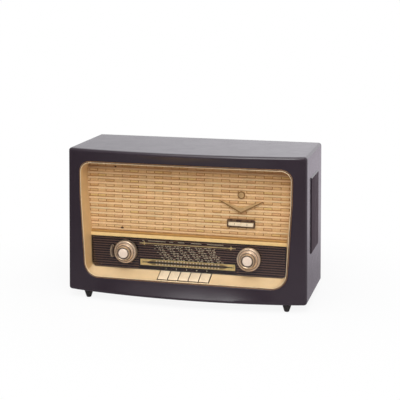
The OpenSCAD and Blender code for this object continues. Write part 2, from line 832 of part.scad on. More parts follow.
module chassis() {
    half = chassis_w / 2;
    color([0.68, 0.69, 0.68]) in_frame() difference() {
        union() {
            difference() {
                block(-half, half, chassis_y, chassis_back, chassis_foot, deck_z);
                block(-half + sheet_t, half - sheet_t, chassis_y + sheet_t, chassis_back - sheet_t,
                      chassis_foot - 1, deck_z - sheet_t);
            }
            for (sx = [-1, 1]) block(sx < 0 ? -half : half - 16, sx < 0 ? -half + 16 : half,
                chassis_y, chassis_back, chassis_foot, chassis_foot + sheet_t);
        }
        for (p = chassis_places())
            translate([p[0], p[1], 0]) cylinder(r = chassis_screw_r + 0.1, h = chassis_foot + 5);
        for (v = valve_spots) translate([v[0], v[1], deck_z - 5]) cylinder(r = 8, h = 10);
    }
}

module valve_sockets() {
    color([0.3, 0.2, 0.14]) in_frame() for (v = valve_spots) {
        translate([v[0], v[1], deck_z]) cylinder(r = valve_r, h = socket_h);
        translate([v[0], v[1], deck_z - 12]) cylinder(r = 8 - run_fit, h = 12.5);
    }
}

module valves() {
    color([0.85, 0.88, 0.9, 0.5]) in_frame() for (v = valve_spots)
        translate([v[0], v[1], deck_z + socket_h]) rotate_extrude() polygon([
            [0, 0], [valve_r - 1, 0], [valve_r, 1], [valve_r, v[2] - 6], [valve_r - 3, v[2] - 2],
            [2, v[2]], [1, v[2] + 5], [0, v[2] + 5]]);
}

module mains_core() {
    color([0.35, 0.33, 0.32]) in_frame() difference() {
        block(mains_x - core_half, mains_x + core_half, core_y[0], core_y[1], deck_z, deck_z + core_h);
        for (sx = [-1, 1]) {
            mid = mains_x + sx * (core_limb + window_w / 2);
            block(mid - window_w / 2, mid + window_w / 2, core_y[0] - 1, core_y[1] + 1,
                  window_z[0], window_z[1]);
        }
    }
}

module mains_winding() {
    color([0.75, 0.55, 0.3]) in_frame() difference() {
        block(mains_x - core_limb - window_w + 0.5, mains_x + core_limb + window_w - 0.5,
              core_y[0] - 12, core_y[1] + 12, window_z[0] + 0.5, window_z[1] - 0.5);
        block(mains_x - core_limb - 0.2, mains_x + core_limb + 0.2, core_y[0] - 0.2, core_y[1] + 0.2,
              window_z[0], window_z[1]);
    }
}

module output_transformer() {
    color([0.4, 0.36, 0.34]) in_frame() translate([output_at[0], output_at[1], deck_z]) {
        block(-20, 20, -8, 8, 0, 34);
        block(-12, 12, -14, 14, 7, 27);
    }
}

module screening_cans() {
    color([0.8, 0.8, 0.82]) in_frame() for (c = can_spots)
        translate([c[0], c[1], deck_z]) cylinder(r = c[2], h = c[3]);
}

module aerial_rod() {
    color([0.25, 0.22, 0.22]) in_frame() {
        translate([aerial_x[0], aerial_at[0], aerial_at[1]]) rotate([0, 90, 0])
            cylinder(r = 5, h = aerial_x[1] - aerial_x[0]);
        translate([aerial_x[0] + 35, aerial_at[0], aerial_at[1]]) rotate([0, 90, 0])
            cylinder(r = 7, h = 36);
    }
}

module aerial_brackets() {
    color([0.55, 0.4, 0.25]) in_frame() for (x = [aerial_x[0] + 20, aerial_x[1] - 20]) difference() {
        block(x - 3, x + 3, aerial_at[0] - 9, chassis_back, deck_z, aerial_at[1] + 9);
        translate([x - 5, aerial_at[0], aerial_at[1]]) rotate([0, 90, 0]) cylinder(r = 5 + run_fit, h = 10);
    }
}

module socket_plate() {
    color([0.5, 0.35, 0.2]) in_frame() difference() {
        block(socket_cut[0] + 4, socket_cut[1] - 4, chassis_back, chassis_back + 3,
              socket_cut[2] + 4, socket_cut[3] - 4);
        for (i = [0 : 6]) rod_y(socket_cut[0] + 18 + i * 24, 36, chassis_back + 1, chassis_back + 5, 2);
    }
}

module cord_grommet() {
    color([0.1, 0.1, 0.1]) in_frame() along_y(grommet_at[0], grommet_at[1], cover_y - 2) difference() {
        rotate_extrude() polygon([[4, 0], [9, 0], [9, 1.9], [6.9, 1.9], [6.9, cover_t + 2.1],
            [9, cover_t + 2.1], [8, cover_t + 3], [4, cover_t + 3]]);
    }
}

module back_cover() {
    g = side_gap;
    color([0.42, 0.28, 0.17]) in_frame() difference() {
        front_view(cover_y, cover_y + cover_t) polygon([
            [-half_at(case_wall) + case_wall + g, case_wall + g],
            [half_at(case_wall) - case_wall - g, case_wall + g],
            [half_at(case_h) - case_wall - g, case_h - case_wall - g],
            [-half_at(case_h) + case_wall + g, case_h - case_wall - g]]);
        block(socket_cut[0], socket_cut[1], cover_y - 1, case_d + 1, socket_cut[2], socket_cut[3]);
        rod_y(grommet_at[0], grommet_at[1], cover_y - 1, case_d + 1, 7);
        for (p = cover_places()) rod_y(p[0], p[1], cover_y - 1, case_d + 1, screw_r + 0.3);
        for (row = [0 : 2], i = [-9 : 9])
            block(i * 20 - 3, i * 20 + 3, cover_y - 1, case_d + 1, 84 + row * 60, 124 + row * 60);
    }
}

module screw_back(x, z, seat, length) {
    rod_y(x, z, seat - length, seat + 0.1, screw_r);
    along_y(x, z, seat) cylinder(r1 = 3.2, r2 = 2.2, h = 1);
}

module cover_screws() {
    color([0.75, 0.75, 0.75]) in_frame()
        for (p = cover_places()) screw_back(p[0], p[1], cover_y + cover_t, 14);
}

module baffle_screws() {
    color([0.75, 0.75, 0.75]) in_frame() {
        for (p = board_screws()) screw_back(p[0], p[1], board_back, 18);
        for (p = speaker_places()) screw_back(p[0], p[1], board_back + 2, board_t);
    }
}

module chassis_screws() {
    color([0.75, 0.75, 0.75]) in_frame() for (p = chassis_places()) {
        translate([p[0], p[1], -2]) cylinder(r = 4, h = 2);
        translate([p[0], p[1], -0.5]) cylinder(r = chassis_screw_r, h = chassis_foot + 6);
    }
}

case_shell();
feet();
opening_trim();
bezel_tray();
dial_rail();
grille_cloth();
baffle_board();
dial_glass();
dial_mask();
scale_strip();
dial_backplate();
pointer();
dial_lamps();
switch_frame();
tone_key_left();
tone_key_right();
tone_switch();
chevron();
plain_stud();
volume_knob();
volume_knob_collar();
volume_knob_cap();
volume_shaft();
volume_control();
tone_ring();
tone_shaft();
tuning_knob();
tuning_knob_collar();
tuning_knob_cap();
tuning_shaft();
tuning_bush();
tuning_drum();
capacitor_rotor();
capacitor_frame();
capacitor_stator();
wave_key(1);  // wave_key_1
wave_key(2);  // wave_key_2
wave_key(3);  // wave_key_3
wave_key(4);  // wave_key_4
wave_key(5);  // wave_key_5
key_shaft();
key_frame();
speaker_frame();
speaker_cone();
speaker_magnet();
chassis();
valve_sockets();
valves();
mains_core();
mains_winding();
output_transformer();
screening_cans();
aerial_rod();
aerial_brackets();
socket_plate();
cord_grommet();
back_cover();
cover_screws();
baffle_screws();
chassis_screws();
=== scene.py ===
"""Looks of a valve table radio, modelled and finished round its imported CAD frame.

Every piece is shaped in case millimetres: x to the right, y back from an upright datum plane a little
behind the front corners, z up from the case's lower edge. settle() then takes it to metres in the frame
that it shares with the CAD nodes.
"""

import logging
import math
import random
from dataclasses import dataclass
from enum import Enum
from typing import Callable, Sequence

import bmesh
import bpy
from mathutils import Matrix, Vector


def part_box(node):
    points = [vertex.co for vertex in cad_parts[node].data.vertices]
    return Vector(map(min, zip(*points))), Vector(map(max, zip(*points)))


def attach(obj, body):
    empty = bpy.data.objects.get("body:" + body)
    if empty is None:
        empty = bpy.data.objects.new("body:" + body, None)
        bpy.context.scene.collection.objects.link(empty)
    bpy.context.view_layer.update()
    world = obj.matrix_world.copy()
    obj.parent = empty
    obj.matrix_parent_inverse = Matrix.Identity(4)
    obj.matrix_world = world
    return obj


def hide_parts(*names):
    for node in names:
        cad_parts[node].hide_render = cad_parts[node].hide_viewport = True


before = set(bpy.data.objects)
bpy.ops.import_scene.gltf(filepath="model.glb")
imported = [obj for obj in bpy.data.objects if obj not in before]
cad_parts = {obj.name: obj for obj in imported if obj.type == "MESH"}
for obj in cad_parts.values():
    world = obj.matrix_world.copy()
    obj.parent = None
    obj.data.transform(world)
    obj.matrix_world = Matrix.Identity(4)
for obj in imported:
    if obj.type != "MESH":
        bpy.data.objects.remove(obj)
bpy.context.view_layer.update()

LOG = logging.getLogger("radio")

Rgb = tuple[int, int, int]
Flat = tuple[float, float]
Point = tuple[float, float, float]
Shape = bmesh.types.BMesh
Socket = bpy.types.NodeSocket
Feed = Socket | float | tuple[float, ...]
Feeds = dict[str | int, Feed]

MM = 0.001
SMOOTH_ANGLE = math.radians(35)
MERGE = 1e-4
SIDES = (-1, 1)
CASE_DEPTH = 183.0
KNOB_X = 130.65
KNOB_Z = 85.0
KNOB_FRONT = -19.0
KEY_X = -1.8
KEY_PITCH = 21.7
SWITCH_X = 111.8
CLOTH_Y = 11.0
SILL_TOP = 60.0


def to_metres() -> Matrix:
    """Returns the matrix that takes case millimetres to metres in the shared frame."""
    low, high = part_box("case_shell")
    return Matrix.Translation((0, high.y - CASE_DEPTH * MM, low.z)) @ Matrix.Scale(MM, 4)


TO_METRES = to_metres()


def linear(color: Rgb) -> tuple[float, float, float, float]:
    """Turns a colour into the values that the shaders take.

    Args:
        color: the colour as it shows on a screen, from 0 to 255.

    Returns:
        The linear colour, with an alpha of 1.
    """
    low_end = 0.04045
    parts = [c / 255 for c in color]
    lit = [p / 12.92 if p <= low_end else ((p + 0.055) / 1.055) ** 2.4 for p in parts]
    return (*lit, 1.0)


# Node trees and the effects that finishes share


class Tree:
    """A node tree that is built node by node."""

    def __init__(self, tree: bpy.types.NodeTree) -> None:
        """Starts from an empty tree."""
        self.tree = tree
        self.tree.nodes.clear()

    def add(self, kind: str, feeds: Feeds | None = None, **settings: object) -> bpy.types.Node:
        """Adds one node.

        Args:
            kind: the node's type.
            feeds: what goes into its inputs, by their names or numbers: a socket, or the value itself.
            settings: the node's own properties.

        Returns:
            The new node.
        """
        node = self.tree.nodes.new(kind)
        for name, value in settings.items():
            setattr(node, name, value)
        for name, value in (feeds or {}).items():
            if isinstance(value, bpy.types.NodeSocket):
                self.tree.links.new(value, node.inputs[name])
            else:
                node.inputs[name].default_value = value
        return node

    def math(self, operation: str, a: Feed, b: Feed = 0.0, clamp: bool = False) -> Socket:
        """Returns a operation b, kept between 0 and 1 where clamp is set."""
        return self.add("ShaderNodeMath", {0: a, 1: b}, operation=operation, use_clamp=clamp).outputs[0]

    def ease(self, value: Feed, start: Feed, end: Feed, low: Feed = 0.0, high: Feed = 1.0) -> Socket:
        """Returns low before start and high past end, with a smooth step between them."""
        feeds = {"Value": value, "From Min": start, "From Max": end, "To Min": low, "To Max": high}
        return self.add("ShaderNodeMapRange", feeds, interpolation_type="SMOOTHSTEP").outputs[0]

    def mix(self, share: Feed, a: Feed, b: Feed) -> Socket:
        """Returns the colour that lies share of the way from a to b."""
        return self.add("ShaderNodeMix", {0: share, 6: a, 7: b}, data_type="RGBA").outputs[2]

    def scale(self, color: Feed, gain: Feed) -> Socket:
        """Returns the colour times gain."""
        return self.add("ShaderNodeVectorMath", {0: color, "Scale": gain}, operation="SCALE").outputs[0]

    def place(self) -> Socket:
        """Returns the point on the piece, in metres."""
        return self.add("ShaderNodeTexCoord").outputs["Object"]

    def axes(self, vector: Feed) -> bpy.types.NodeOutputs:
        """Returns the X, Y and Z of a vector."""
        return self.add("ShaderNodeSeparateXYZ", {"Vector": vector}).outputs

    def noise(self, size: Feed, detail: float = 3.0, stretch: Point = (1, 1, 1)) -> Socket:
        """Returns soft noise.

        Args:
            size: the size of its patches, in millimetres.
            detail: how many finer levels it has.
            stretch: how much denser it is along each axis.

        Returns:
            The noise, from 0 to 1.
        """
        spot = self.add("ShaderNodeMapping", {"Vector": self.place(), "Scale": stretch}).outputs[0]
        feeds = {"Vector": spot, "Scale": self.math("DIVIDE", 1 / MM, size), "Detail": detail}
        return self.add("ShaderNodeTexNoise", feeds).outputs["Fac"]


class Effect(Enum):
    """The node groups that finishes share."""

    MOTTLE = "mottle"
    GRAIN = "fine_grain"
    SMUDGE = "smudge"
    DUST = "settled_dust"
    WEAR = "edge_wear"


class EffectShop:
    """Builds each shared node group on its first use."""

    DUST_COLOR: Rgb = (176, 170, 162)
    SOCKET_KINDS: dict[str, str] = {"Color": "Color", "Worn Color": "Color", "Normal": "Vector"}

    def __init__(self) -> None:
        """Starts with no groups."""
        self.groups: dict[Effect, bpy.types.NodeTree] = {}

    def use(self, tree: Tree, effect: Effect, feeds: Feeds) -> bpy.types.NodeOutputs:
        """Places a group in a tree.

        Args:
            tree: the tree of the material.
            effect: the group.
            feeds: what goes into the group's inputs.

        Returns:
            What the group puts out.
        """
        if effect not in self.groups:
            self.groups[effect] = getattr(self, effect.value)()
        return tree.add("ShaderNodeGroup", feeds, node_tree=self.groups[effect]).outputs

    def start(self, effect: Effect, inputs: Sequence[str],
              outputs: Sequence[str]) -> tuple[Tree, bpy.types.NodeOutputs]:
        """Makes an empty group with its sockets.

        Args:
            effect: the group.
            inputs: the names of its inputs.
            outputs: the names of its outputs.

        Returns:
            The group's tree, and what comes in through its inputs.
        """
        group = bpy.data.node_groups.new(effect.value, "ShaderNodeTree")
        for way, labels in (("INPUT", inputs), ("OUTPUT", outputs)):
            for label in labels:
                kind = "NodeSocket" + self.SOCKET_KINDS.get(label, "Float")
                group.interface.new_socket(name=label, in_out=way, socket_type=kind)
        tree = Tree(group)
        return tree, tree.add("NodeGroupInput").outputs

    @staticmethod
    def spread(tree: Tree, middle: Feed, reach: Feed, size: Feed) -> Socket:
        """Varies a value in soft patches.

        Args:
            tree: the group's tree.
            middle: the value.
            reach: how far it goes to either side.
            size: the size of the patches, in millimetres.

        Returns:
            The varied value.
        """
        low = tree.math("SUBTRACT", middle, reach)
        high = tree.math("ADD", middle, reach)
        return tree.ease(tree.noise(size), 0.3, 0.7, low, high)

    def mottle(self) -> bpy.types.NodeTree:
        """Lightens and darkens a colour in soft patches.

        Returns:
            The group.
        """
        tree, given = self.start(Effect.MOTTLE, ["Color", "Amount", "Size"], ["Color"])
        gain = self.spread(tree, 1.0, given["Amount"], given["Size"])
        tree.add("NodeGroupOutput", {"Color": tree.scale(given["Color"], gain)})
        return tree.tree

    def fine_grain(self) -> bpy.types.NodeTree:
        """Roughens the surface with small bumps.

        Returns:
            The group.
        """
        tree, given = self.start(Effect.GRAIN, ["Size", "Height"], ["Normal"])
        height = tree.math("MULTIPLY", given["Height"], MM)
        bump = tree.add("ShaderNodeBump", {"Height": tree.noise(given["Size"]), "Distance": height})
        tree.add("NodeGroupOutput", {"Normal": bump.outputs[0]})
        return tree.tree

    def smudge(self) -> bpy.types.NodeTree:
        """Varies a roughness as handling does.

        Returns:
            The group.
        """
        tree, given = self.start(Effect.SMUDGE, ["Roughness", "Spread", "Size"], ["Roughness"])
        varied = self.spread(tree, given["Roughness"], given["Spread"], given["Size"])
        tree.add("NodeGroupOutput", {"Roughness": varied})
        return tree.tree

    def settled_dust(self) -> bpy.types.NodeTree:
        """Lays thin dust on what faces up.

        Returns:
            The group.
        """
        tree, given = self.start(Effect.DUST, ["Color", "Roughness", "Amount"], ["Color", "Roughness"])
        up = tree.axes(tree.add("ShaderNodeNewGeometry").outputs["Normal"])["Z"]
        thick = tree.ease(tree.noise(26.0), 0.3, 0.75, 0.4, 1.0)
        laid = tree.math("MULTIPLY", tree.ease(up, 0.4, 0.95), thick)
        mask = tree.math("MULTIPLY", laid, given["Amount"], clamp=True)
        color = tree.mix(mask, given["Color"], linear(self.DUST_COLOR))
        rough = tree.ease(mask, 0.0, 1.0, given["Roughness"], 0.9)
        tree.add("NodeGroupOutput", {"Color": color, "Roughness": rough})
        return tree.tree

    def edge_wear(self) -> bpy.types.NodeTree:
        """Shows what lies under a finish where an edge has rubbed.

        Returns:
            The group.
        """
        tree, given = self.start(Effect.WEAR, ["Color", "Worn Color", "Amount"], ["Color"])
        point = tree.add("ShaderNodeNewGeometry").outputs["Pointiness"]
        edge = tree.math("MULTIPLY", tree.ease(point, 0.51, 0.6), tree.ease(tree.noise(5.0), 0.35, 0.6))
        mask = tree.math("MULTIPLY", edge, given["Amount"], clamp=True)
        tree.add("NodeGroupOutput", {"Color": tree.mix(mask, given["Color"], given["Worn Color"])})
        return tree.tree


SHOP = EffectShop()
MATERIALS: dict[str, bpy.types.Material] = {}


@dataclass(frozen=True)
class Finish:
    """A finish: its colour, its gloss, and how both vary over the surface.

    Sizes are in millimetres. mottle and smudge are shares, grain is a height.
    """

    name: str
    color: Rgb
    roughness: float = 0.45
    metallic: float = 0.0
    specular: float = 0.5
    coat: float = 0.0
    coat_roughness: float = 0.1
    mottle: float = 0.06
    mottle_size: float = 9.0
    smudge: float = 0.05
    smudge_size: float = 30.0
    grain: float = 0.01
    grain_size: float = 0.5
    dust: float = 0.0
    wear: float = 0.0
    worn: Rgb = (150, 140, 125)

    def material(self) -> bpy.types.Material:
        """Returns the finish's material, built on its first use.

        Returns:
            The material.
        """
        if self.name not in MATERIALS:
            MATERIALS[self.name] = self.build()
        return MATERIALS[self.name]

    def build(self) -> bpy.types.Material:
        """Builds the material.

        Returns:
            A material with one Principled shader.
        """
        material = bpy.data.materials.new(self.name)
        material.use_nodes = True
        tree = Tree(material.node_tree)
        color, rough = self.surface(tree)
        shader = tree.add("ShaderNodeBsdfPrincipled", {
            "Base Color": color, "Roughness": rough, "Metallic": self.metallic,
            "Specular IOR Level": self.specular, "Coat Weight": self.coat,
            "Coat Roughness": self.coat_roughness, "Normal": self.relief(tree), **self.extras()})
        tree.add("ShaderNodeOutputMaterial", {"Surface": shader.outputs[0]})
        return material

    def surface(self, tree: Tree) -> tuple[Socket, Socket]:
        """Makes the colour and the roughness.

        Args:
            tree: the material's tree.

        Returns:
            The colour and the roughness.
        """
        color = self.mottled(tree, linear(self.color))
        if self.wear:
            worn = {"Color": color, "Worn Color": linear(self.worn), "Amount": self.wear}
            color = SHOP.use(tree, Effect.WEAR, worn)[0]
        rough = self.smudged(tree)
        if self.dust:
            dusty = {"Color": color, "Roughness": rough, "Amount": self.dust}
            color, rough = SHOP.use(tree, Effect.DUST, dusty)
        return color, rough

    def mottled(self, tree: Tree, color: Feed) -> Socket:
        """Returns a colour with the finish's own mottle."""
        feeds = {"Color": color, "Amount": self.mottle, "Size": self.mottle_size}
        return SHOP.use(tree, Effect.MOTTLE, feeds)[0]

    def smudged(self, tree: Tree) -> Socket:
        """Returns the roughness with the finish's own smudges."""
        feeds = {"Roughness": self.roughness, "Spread": self.smudge, "Size": self.smudge_size}
        return SHOP.use(tree, Effect.SMUDGE, feeds)[0]

    def relief(self, tree: Tree) -> Socket:
        """Returns the normal."""
        return SHOP.use(tree, Effect.GRAIN, {"Size": self.grain_size, "Height": self.grain})[0]

    def extras(self) -> Feeds:
        """Returns what else the shader takes."""
        return {}


@dataclass(frozen=True)
class GlassFinish(Finish):
    """Clear glass."""

    clear: float = 1.0

    def extras(self) -> Feeds:
        """Returns what lets light through."""
        return {"Transmission Weight": self.clear, "IOR": 1.45}


@dataclass(frozen=True)
class ClothFinish(Finish):
    """Woven grille cloth: padded ribs, dark lines beside them and rows of short flat bricks.

    ground, brick_band and the two lines are heights over the middle of the rib below, up to the pitch. Above
    a set height the cloth is darker, a painted shadow of the top of the opening, and brick_colors gives where
    each colour's share of the bricks starts.
    """

    pitch: float = 10.7
    first_rib: float = 129.6
    brick: float = 17.5
    brick_level: float = 6.1
    brick_rise: float = 2.3
    ground: Flat = (1.7, 9.0)
    brick_band: Flat = (4.2, 8.0)
    under_line: Flat = (3.0, 4.3)
    over_line: Flat = (8.0, 9.2)
    # Painted shadow: above this height the cloth is darker, as under the top of the opening.
    stain_z: float = 256.0
    stain_fade: float = 6.0
    ground_color: Rgb = (212, 168, 120)
    patch_color: Rgb = (208, 192, 150)
    line_color: Rgb = (146, 98, 54)
    stain_color: Rgb = (118, 80, 52)
    brick_colors: tuple[tuple[float, Rgb], ...] = (
        (0.0, (214, 174, 122)), (0.3, (209, 169, 116)), (0.5, (219, 181, 129)),
        (0.68, (205, 162, 108)), (0.8, (210, 166, 118)), (0.9, (212, 176, 114)))

    def surface(self, tree: Tree) -> tuple[Socket, Socket]:
        """Makes the colours of the weave, with a painted shadow along its top, and its roughness.

        Args:
            tree: the material's tree.

        Returns:
            The colour and the roughness.
        """
        spot = tree.axes(tree.place())
        height = tree.math("ADD", spot["Z"], tree.math("MULTIPLY", tree.noise(60.0, 2.0), 6 * MM))
        # Darker along the top, with a ragged lower edge: a painted shadow of the top of the opening.
        top = TO_METRES.translation.z + self.stain_z * MM
        top_shade = tree.ease(height, top, top + self.stain_fade * MM, 0.0, 0.5)
        color = tree.mix(top_shade, self.weave(tree, spot), linear(self.stain_color))
        thread = tree.ease(tree.noise(0.9, 1.0, (0.25, 1, 3.0)), 0.25, 0.75, 0.82, 1.12)
        return tree.scale(self.mottled(tree, color), thread), self.smudged(tree)

    def weave(self, tree: Tree, spot: bpy.types.NodeOutputs) -> Socket:
        """Makes the ribs, the ground, the bricks and the lines beside them.

        Args:
            tree: the material's tree.
            spot: the X, Y and Z of the point on the piece.

        Returns:
            The colour.
        """
        across = tree.math("FLOOR", tree.math("DIVIDE", spot["X"], self.brick * MM))
        zero = TO_METRES.translation.z + self.first_rib * MM
        up = tree.math("DIVIDE", tree.math("SUBTRACT", spot["Z"], zero), self.pitch * MM)
        row = tree.math("FLOOR", up)
        level = tree.math("MULTIPLY", tree.math("SUBTRACT", up, row), self.pitch)
        cell = tree.add("ShaderNodeCombineXYZ", {"X": across, "Y": row}).outputs[0]
        chance = tree.add("ShaderNodeTexWhiteNoise", {"Vector": cell}, noise_dimensions="2D").outputs
        picked = tree.add("ShaderNodeValToRGB", {"Fac": chance["Value"]})
        self.set_stops(picked.color_ramp)
        other = tree.add("ShaderNodeSeparateColor", {"Color": chance["Color"]}).outputs
        patch = tree.ease(tree.noise(55.0, 2.0, (0.5, 1, 1.6)), 0.5, 0.66, 0.0, 0.55)
        rib = tree.mix(patch, linear(self.color), linear(self.patch_color))
        color = tree.mix(self.band(tree, level, self.ground), rib, linear(self.ground_color))
        color = tree.mix(self.band(tree, level, self.brick_band), color, picked.outputs["Color"])
        under = tree.math("MULTIPLY", self.band(tree, level, self.under_line),
                          tree.ease(other["Red"], 0.3, 0.5, 0.25, 0.9))
        over = tree.math("MULTIPLY", self.band(tree, level, self.over_line),
                         tree.ease(other["Green"], 0.4, 0.6, 0.15, 0.7))
        return tree.mix(tree.math("ADD", under, over), color, linear(self.line_color))

    @staticmethod
    def band(tree: Tree, level: Socket, ends: Flat) -> Socket:
        """Marks a band of the weave.

        Args:
            tree: the material's tree.
            level: the height over the rib below.
            ends: where the band starts and ends.

        Returns:
            1 on the band and 0 beside it, with soft edges.
        """
        soft = 0.35
        start, end = ends
        into = tree.ease(level, start - soft, start + soft)
        return tree.math("MULTIPLY", into, tree.ease(level, end - soft, end + soft, 1.0, 0.0))

    def set_stops(self, ramp: bpy.types.ColorRamp) -> None:
        """Gives the bricks their colours, each with its share of them.

        Args:
            ramp: the ramp that picks a brick's colour.
        """
        ramp.interpolation = "CONSTANT"
        for index, (start, color) in enumerate(self.brick_colors):
            stop = ramp.elements[index] if index < 2 else ramp.elements.new(start)
            stop.position = start
            stop.color = linear(color)


LACQUER = Finish("black_lacquer", (50, 41, 48), roughness=0.22, specular=0.45, mottle=0.03,
                 mottle_size=60.0, grain=0.0008, grain_size=2.5, smudge=0.012, wear=0.25,
                 worn=(84, 70, 76))
PAD = Finish("pad_matte", (84, 72, 79), roughness=0.8, specular=0.15, mottle=0.04, mottle_size=40.0)
# A paler copy of the bezel's cream, with a little dust, for the sill's upward faces: painted light.
SILL_PAINTED_LIGHT = Finish("sill_cream_painted_light", (232, 200, 152), roughness=0.36, coat=0.15, mottle=0.04, mottle_size=25.0,
              dust=0.05)
BEAD_GOLD = Finish("bead_gold", (172, 128, 90), roughness=0.4, metallic=0.3, mottle=0.1, wear=0.3,
                   worn=(216, 180, 138))
# Near black for the bead's groove: painted shade.
BEAD_GROOVE_SHADE = Finish("bead_groove_painted_shade", (46, 30, 24), roughness=0.55, mottle=0.12)
# Pale cream for the bead's inner round: a painted highlight.
BEAD_LIP_HIGHLIGHT = Finish("bead_lip_painted_highlight", (250, 224, 182), roughness=0.3, metallic=0.2, coat=0.2, mottle=0.05)
CREAM = Finish("bezel_cream", (212, 174, 122), roughness=0.36, coat=0.15, mottle=0.05, mottle_size=25.0,
               dust=0.1)
RAIL_GOLD = Finish("rail_gold", (178, 132, 68), roughness=0.4, metallic=0.2, mottle=0.07)
RAIL_CREAM = Finish("rail_cream", (234, 198, 134), roughness=0.35, mottle=0.04)
# Brown for the rail's groove: painted shade.
RAIL_GROOVE_SHADE = Finish("rail_groove_painted_shade", (168, 104, 48), roughness=0.5, mottle=0.1)
CLOTH = ClothFinish("grille_weave", (230, 194, 148), roughness=0.85, specular=0.15, mottle=0.05,
                    mottle_size=30.0, grain=0.12, grain_size=0.7)
STITCH = Finish("weave_stitch", (150, 106, 62), roughness=0.9, specular=0.2, mottle=0.2, mottle_size=4.0)
SPECK = Finish("cloth_speck", (78, 46, 24), roughness=0.9, mottle=0.2)
DIAL_GLASS = GlassFinish("dial_glass", (250, 248, 244), roughness=0.03, specular=0.2, smudge=0.02,
                         mottle=0.0, grain=0.0)
MASK = Finish("dial_print_dark", (30, 15, 11), roughness=0.6, specular=0.15, mottle=0.15, mottle_size=40.0)
MASK_LINE = Finish("dial_print_line", (128, 94, 78), roughness=0.6, specular=0.2)
DIAL_GOLD = Finish("dial_print_gold", (250, 224, 150), roughness=0.4, metallic=0.15, mottle=0.1)
DIAL_PALE = Finish("dial_print_pale", (248, 232, 196), roughness=0.5)
SCALE_OLIVE = Finish("scale_olive", (164, 136, 78), roughness=0.5, mottle=0.1)
SCALE_BROWN = Finish("scale_brown", (66, 42, 26), roughness=0.5, mottle=0.1)
POINTER_RED = Finish("pointer_paint", (214, 92, 48), roughness=0.4)
DARK_PAINT = Finish("plate_paint", (30, 26, 24), roughness=0.6, mottle=0.12)
KNOB = Finish("knob_champagne", (212, 186, 158), roughness=0.28, metallic=0.45, coat=0.25, mottle=0.06,
              wear=0.3, worn=(226, 208, 186))
# Dark brown for the knobs' grooves and the gap round the cap: painted shade.
KNOB_GROOVE_SHADE = Finish("knob_groove_painted_shade", (74, 54, 42), roughness=0.5, mottle=0.1)
TAB_BROWN = Finish("tab_brown", (52, 38, 32), roughness=0.35, specular=0.4, mottle=0.1, wear=0.9,
                   worn=(168, 144, 118))
RING_BROWN = Finish("lever_brown", (58, 44, 36), roughness=0.35, specular=0.4, mottle=0.1, wear=0.5,
                    worn=(150, 134, 110))
COLLAR = Finish("collar_champagne", (216, 190, 156), roughness=0.25, metallic=0.6, mottle=0.05)
IVORY = Finish("ivory", (238, 216, 182), roughness=0.3, coat=0.2, mottle=0.04, mottle_size=14.0, dust=0.05)
CAP = Finish("cap_ivory", (234, 212, 192), roughness=0.3, coat=0.2, mottle=0.04, mottle_size=14.0)
SWITCH_BRONZE = Finish("switch_bronze", (66, 44, 38), roughness=0.35, metallic=0.4, mottle=0.1, wear=0.8,
                       worn=(186, 150, 106))
ORNAMENT = Finish("ornament_gold", (208, 170, 118), roughness=0.35, metallic=0.35, mottle=0.08, wear=0.5,
                  worn=(224, 194, 140))
# Darker gold: painted shade on the chevron's lower edges, and the stud's own dark outer ring.
ORNAMENT_SHADE_AND_RING = Finish("ornament_shade_and_dark_ring", (144, 108, 62), roughness=0.5, metallic=0.2, mottle=0.08)
RUBBER = Finish("foot_rubber", (44, 40, 38), roughness=0.75, mottle=0.2, grain=0.04, dust=0.1)
FIBRE = Finish("fibre_board", (104, 72, 46), roughness=0.8, mottle=0.22, mottle_size=5.0, grain=0.08,
               grain_size=1.0, dust=0.1)
STEEL = Finish("zinc_steel", (168, 166, 158), roughness=0.38, metallic=0.95, mottle=0.1, mottle_size=14.0)
CHASSIS = Finish("chassis_zinc", (150, 146, 134), roughness=0.45, metallic=0.85, mottle=0.18, dust=0.5)
BRASS = Finish("turned_brass", (198, 160, 88), roughness=0.3, metallic=0.95, mottle=0.1)
BAKELITE = Finish("bakelite", (58, 34, 24), roughness=0.35, coat=0.2, mottle=0.2, mottle_size=6.0)
IRON = Finish("core_iron", (74, 70, 68), roughness=0.6, metallic=0.5, mottle=0.2, dust=0.3)
PAPER = Finish("winding_paper", (186, 142, 84), roughness=0.75, mottle=0.15, grain=0.05)
ALUMINIUM = Finish("can_aluminium", (196, 196, 194), roughness=0.3, metallic=0.95, mottle=0.06, dust=0.2)
FERRITE = Finish("ferrite", (52, 50, 52), roughness=0.55, mottle=0.15)
BROWN_BOARD = Finish("bracket_board", (124, 82, 46), roughness=0.6, mottle=0.15)
CONE = Finish("cone_paper", (62, 58, 54), roughness=0.9, mottle=0.15, grain=0.1, grain_size=1.2)
BOARD = Finish("baffle_board", (132, 98, 66), roughness=0.85, mottle=0.2, grain=0.08, grain_size=1.5)
VALVE_GLASS = GlassFinish("valve_glass", (232, 236, 236), roughness=0.05, grain=0.0, clear=0.9)
LAMP = Finish("lamp_frost", (236, 224, 196), roughness=0.3, mottle=0.04)
DRUM = Finish("drum_plastic", (176, 160, 124), roughness=0.5, mottle=0.08)


# Shaping with bmesh operators


def arc(centre: Flat, radius: float, start: float, end: float, count: int) -> list[Flat]:
    """Returns count points on an arc, from start to end in degrees from +x towards +z."""
    angles = [math.radians(start + (end - start) * i / (count - 1)) for i in range(count)]
    return [(centre[0] + radius * math.cos(a), centre[1] + radius * math.sin(a)) for a in angles]


def between(a: Flat, b: Flat, count: int) -> list[Flat]:
    """Returns count points between a and b, without them."""
    steps = [(i + 1) / (count + 1) for i in range(count)]
    return [(a[0] + (b[0] - a[0]) * t, a[1] + (b[1] - a[1]) * t) for t in steps]


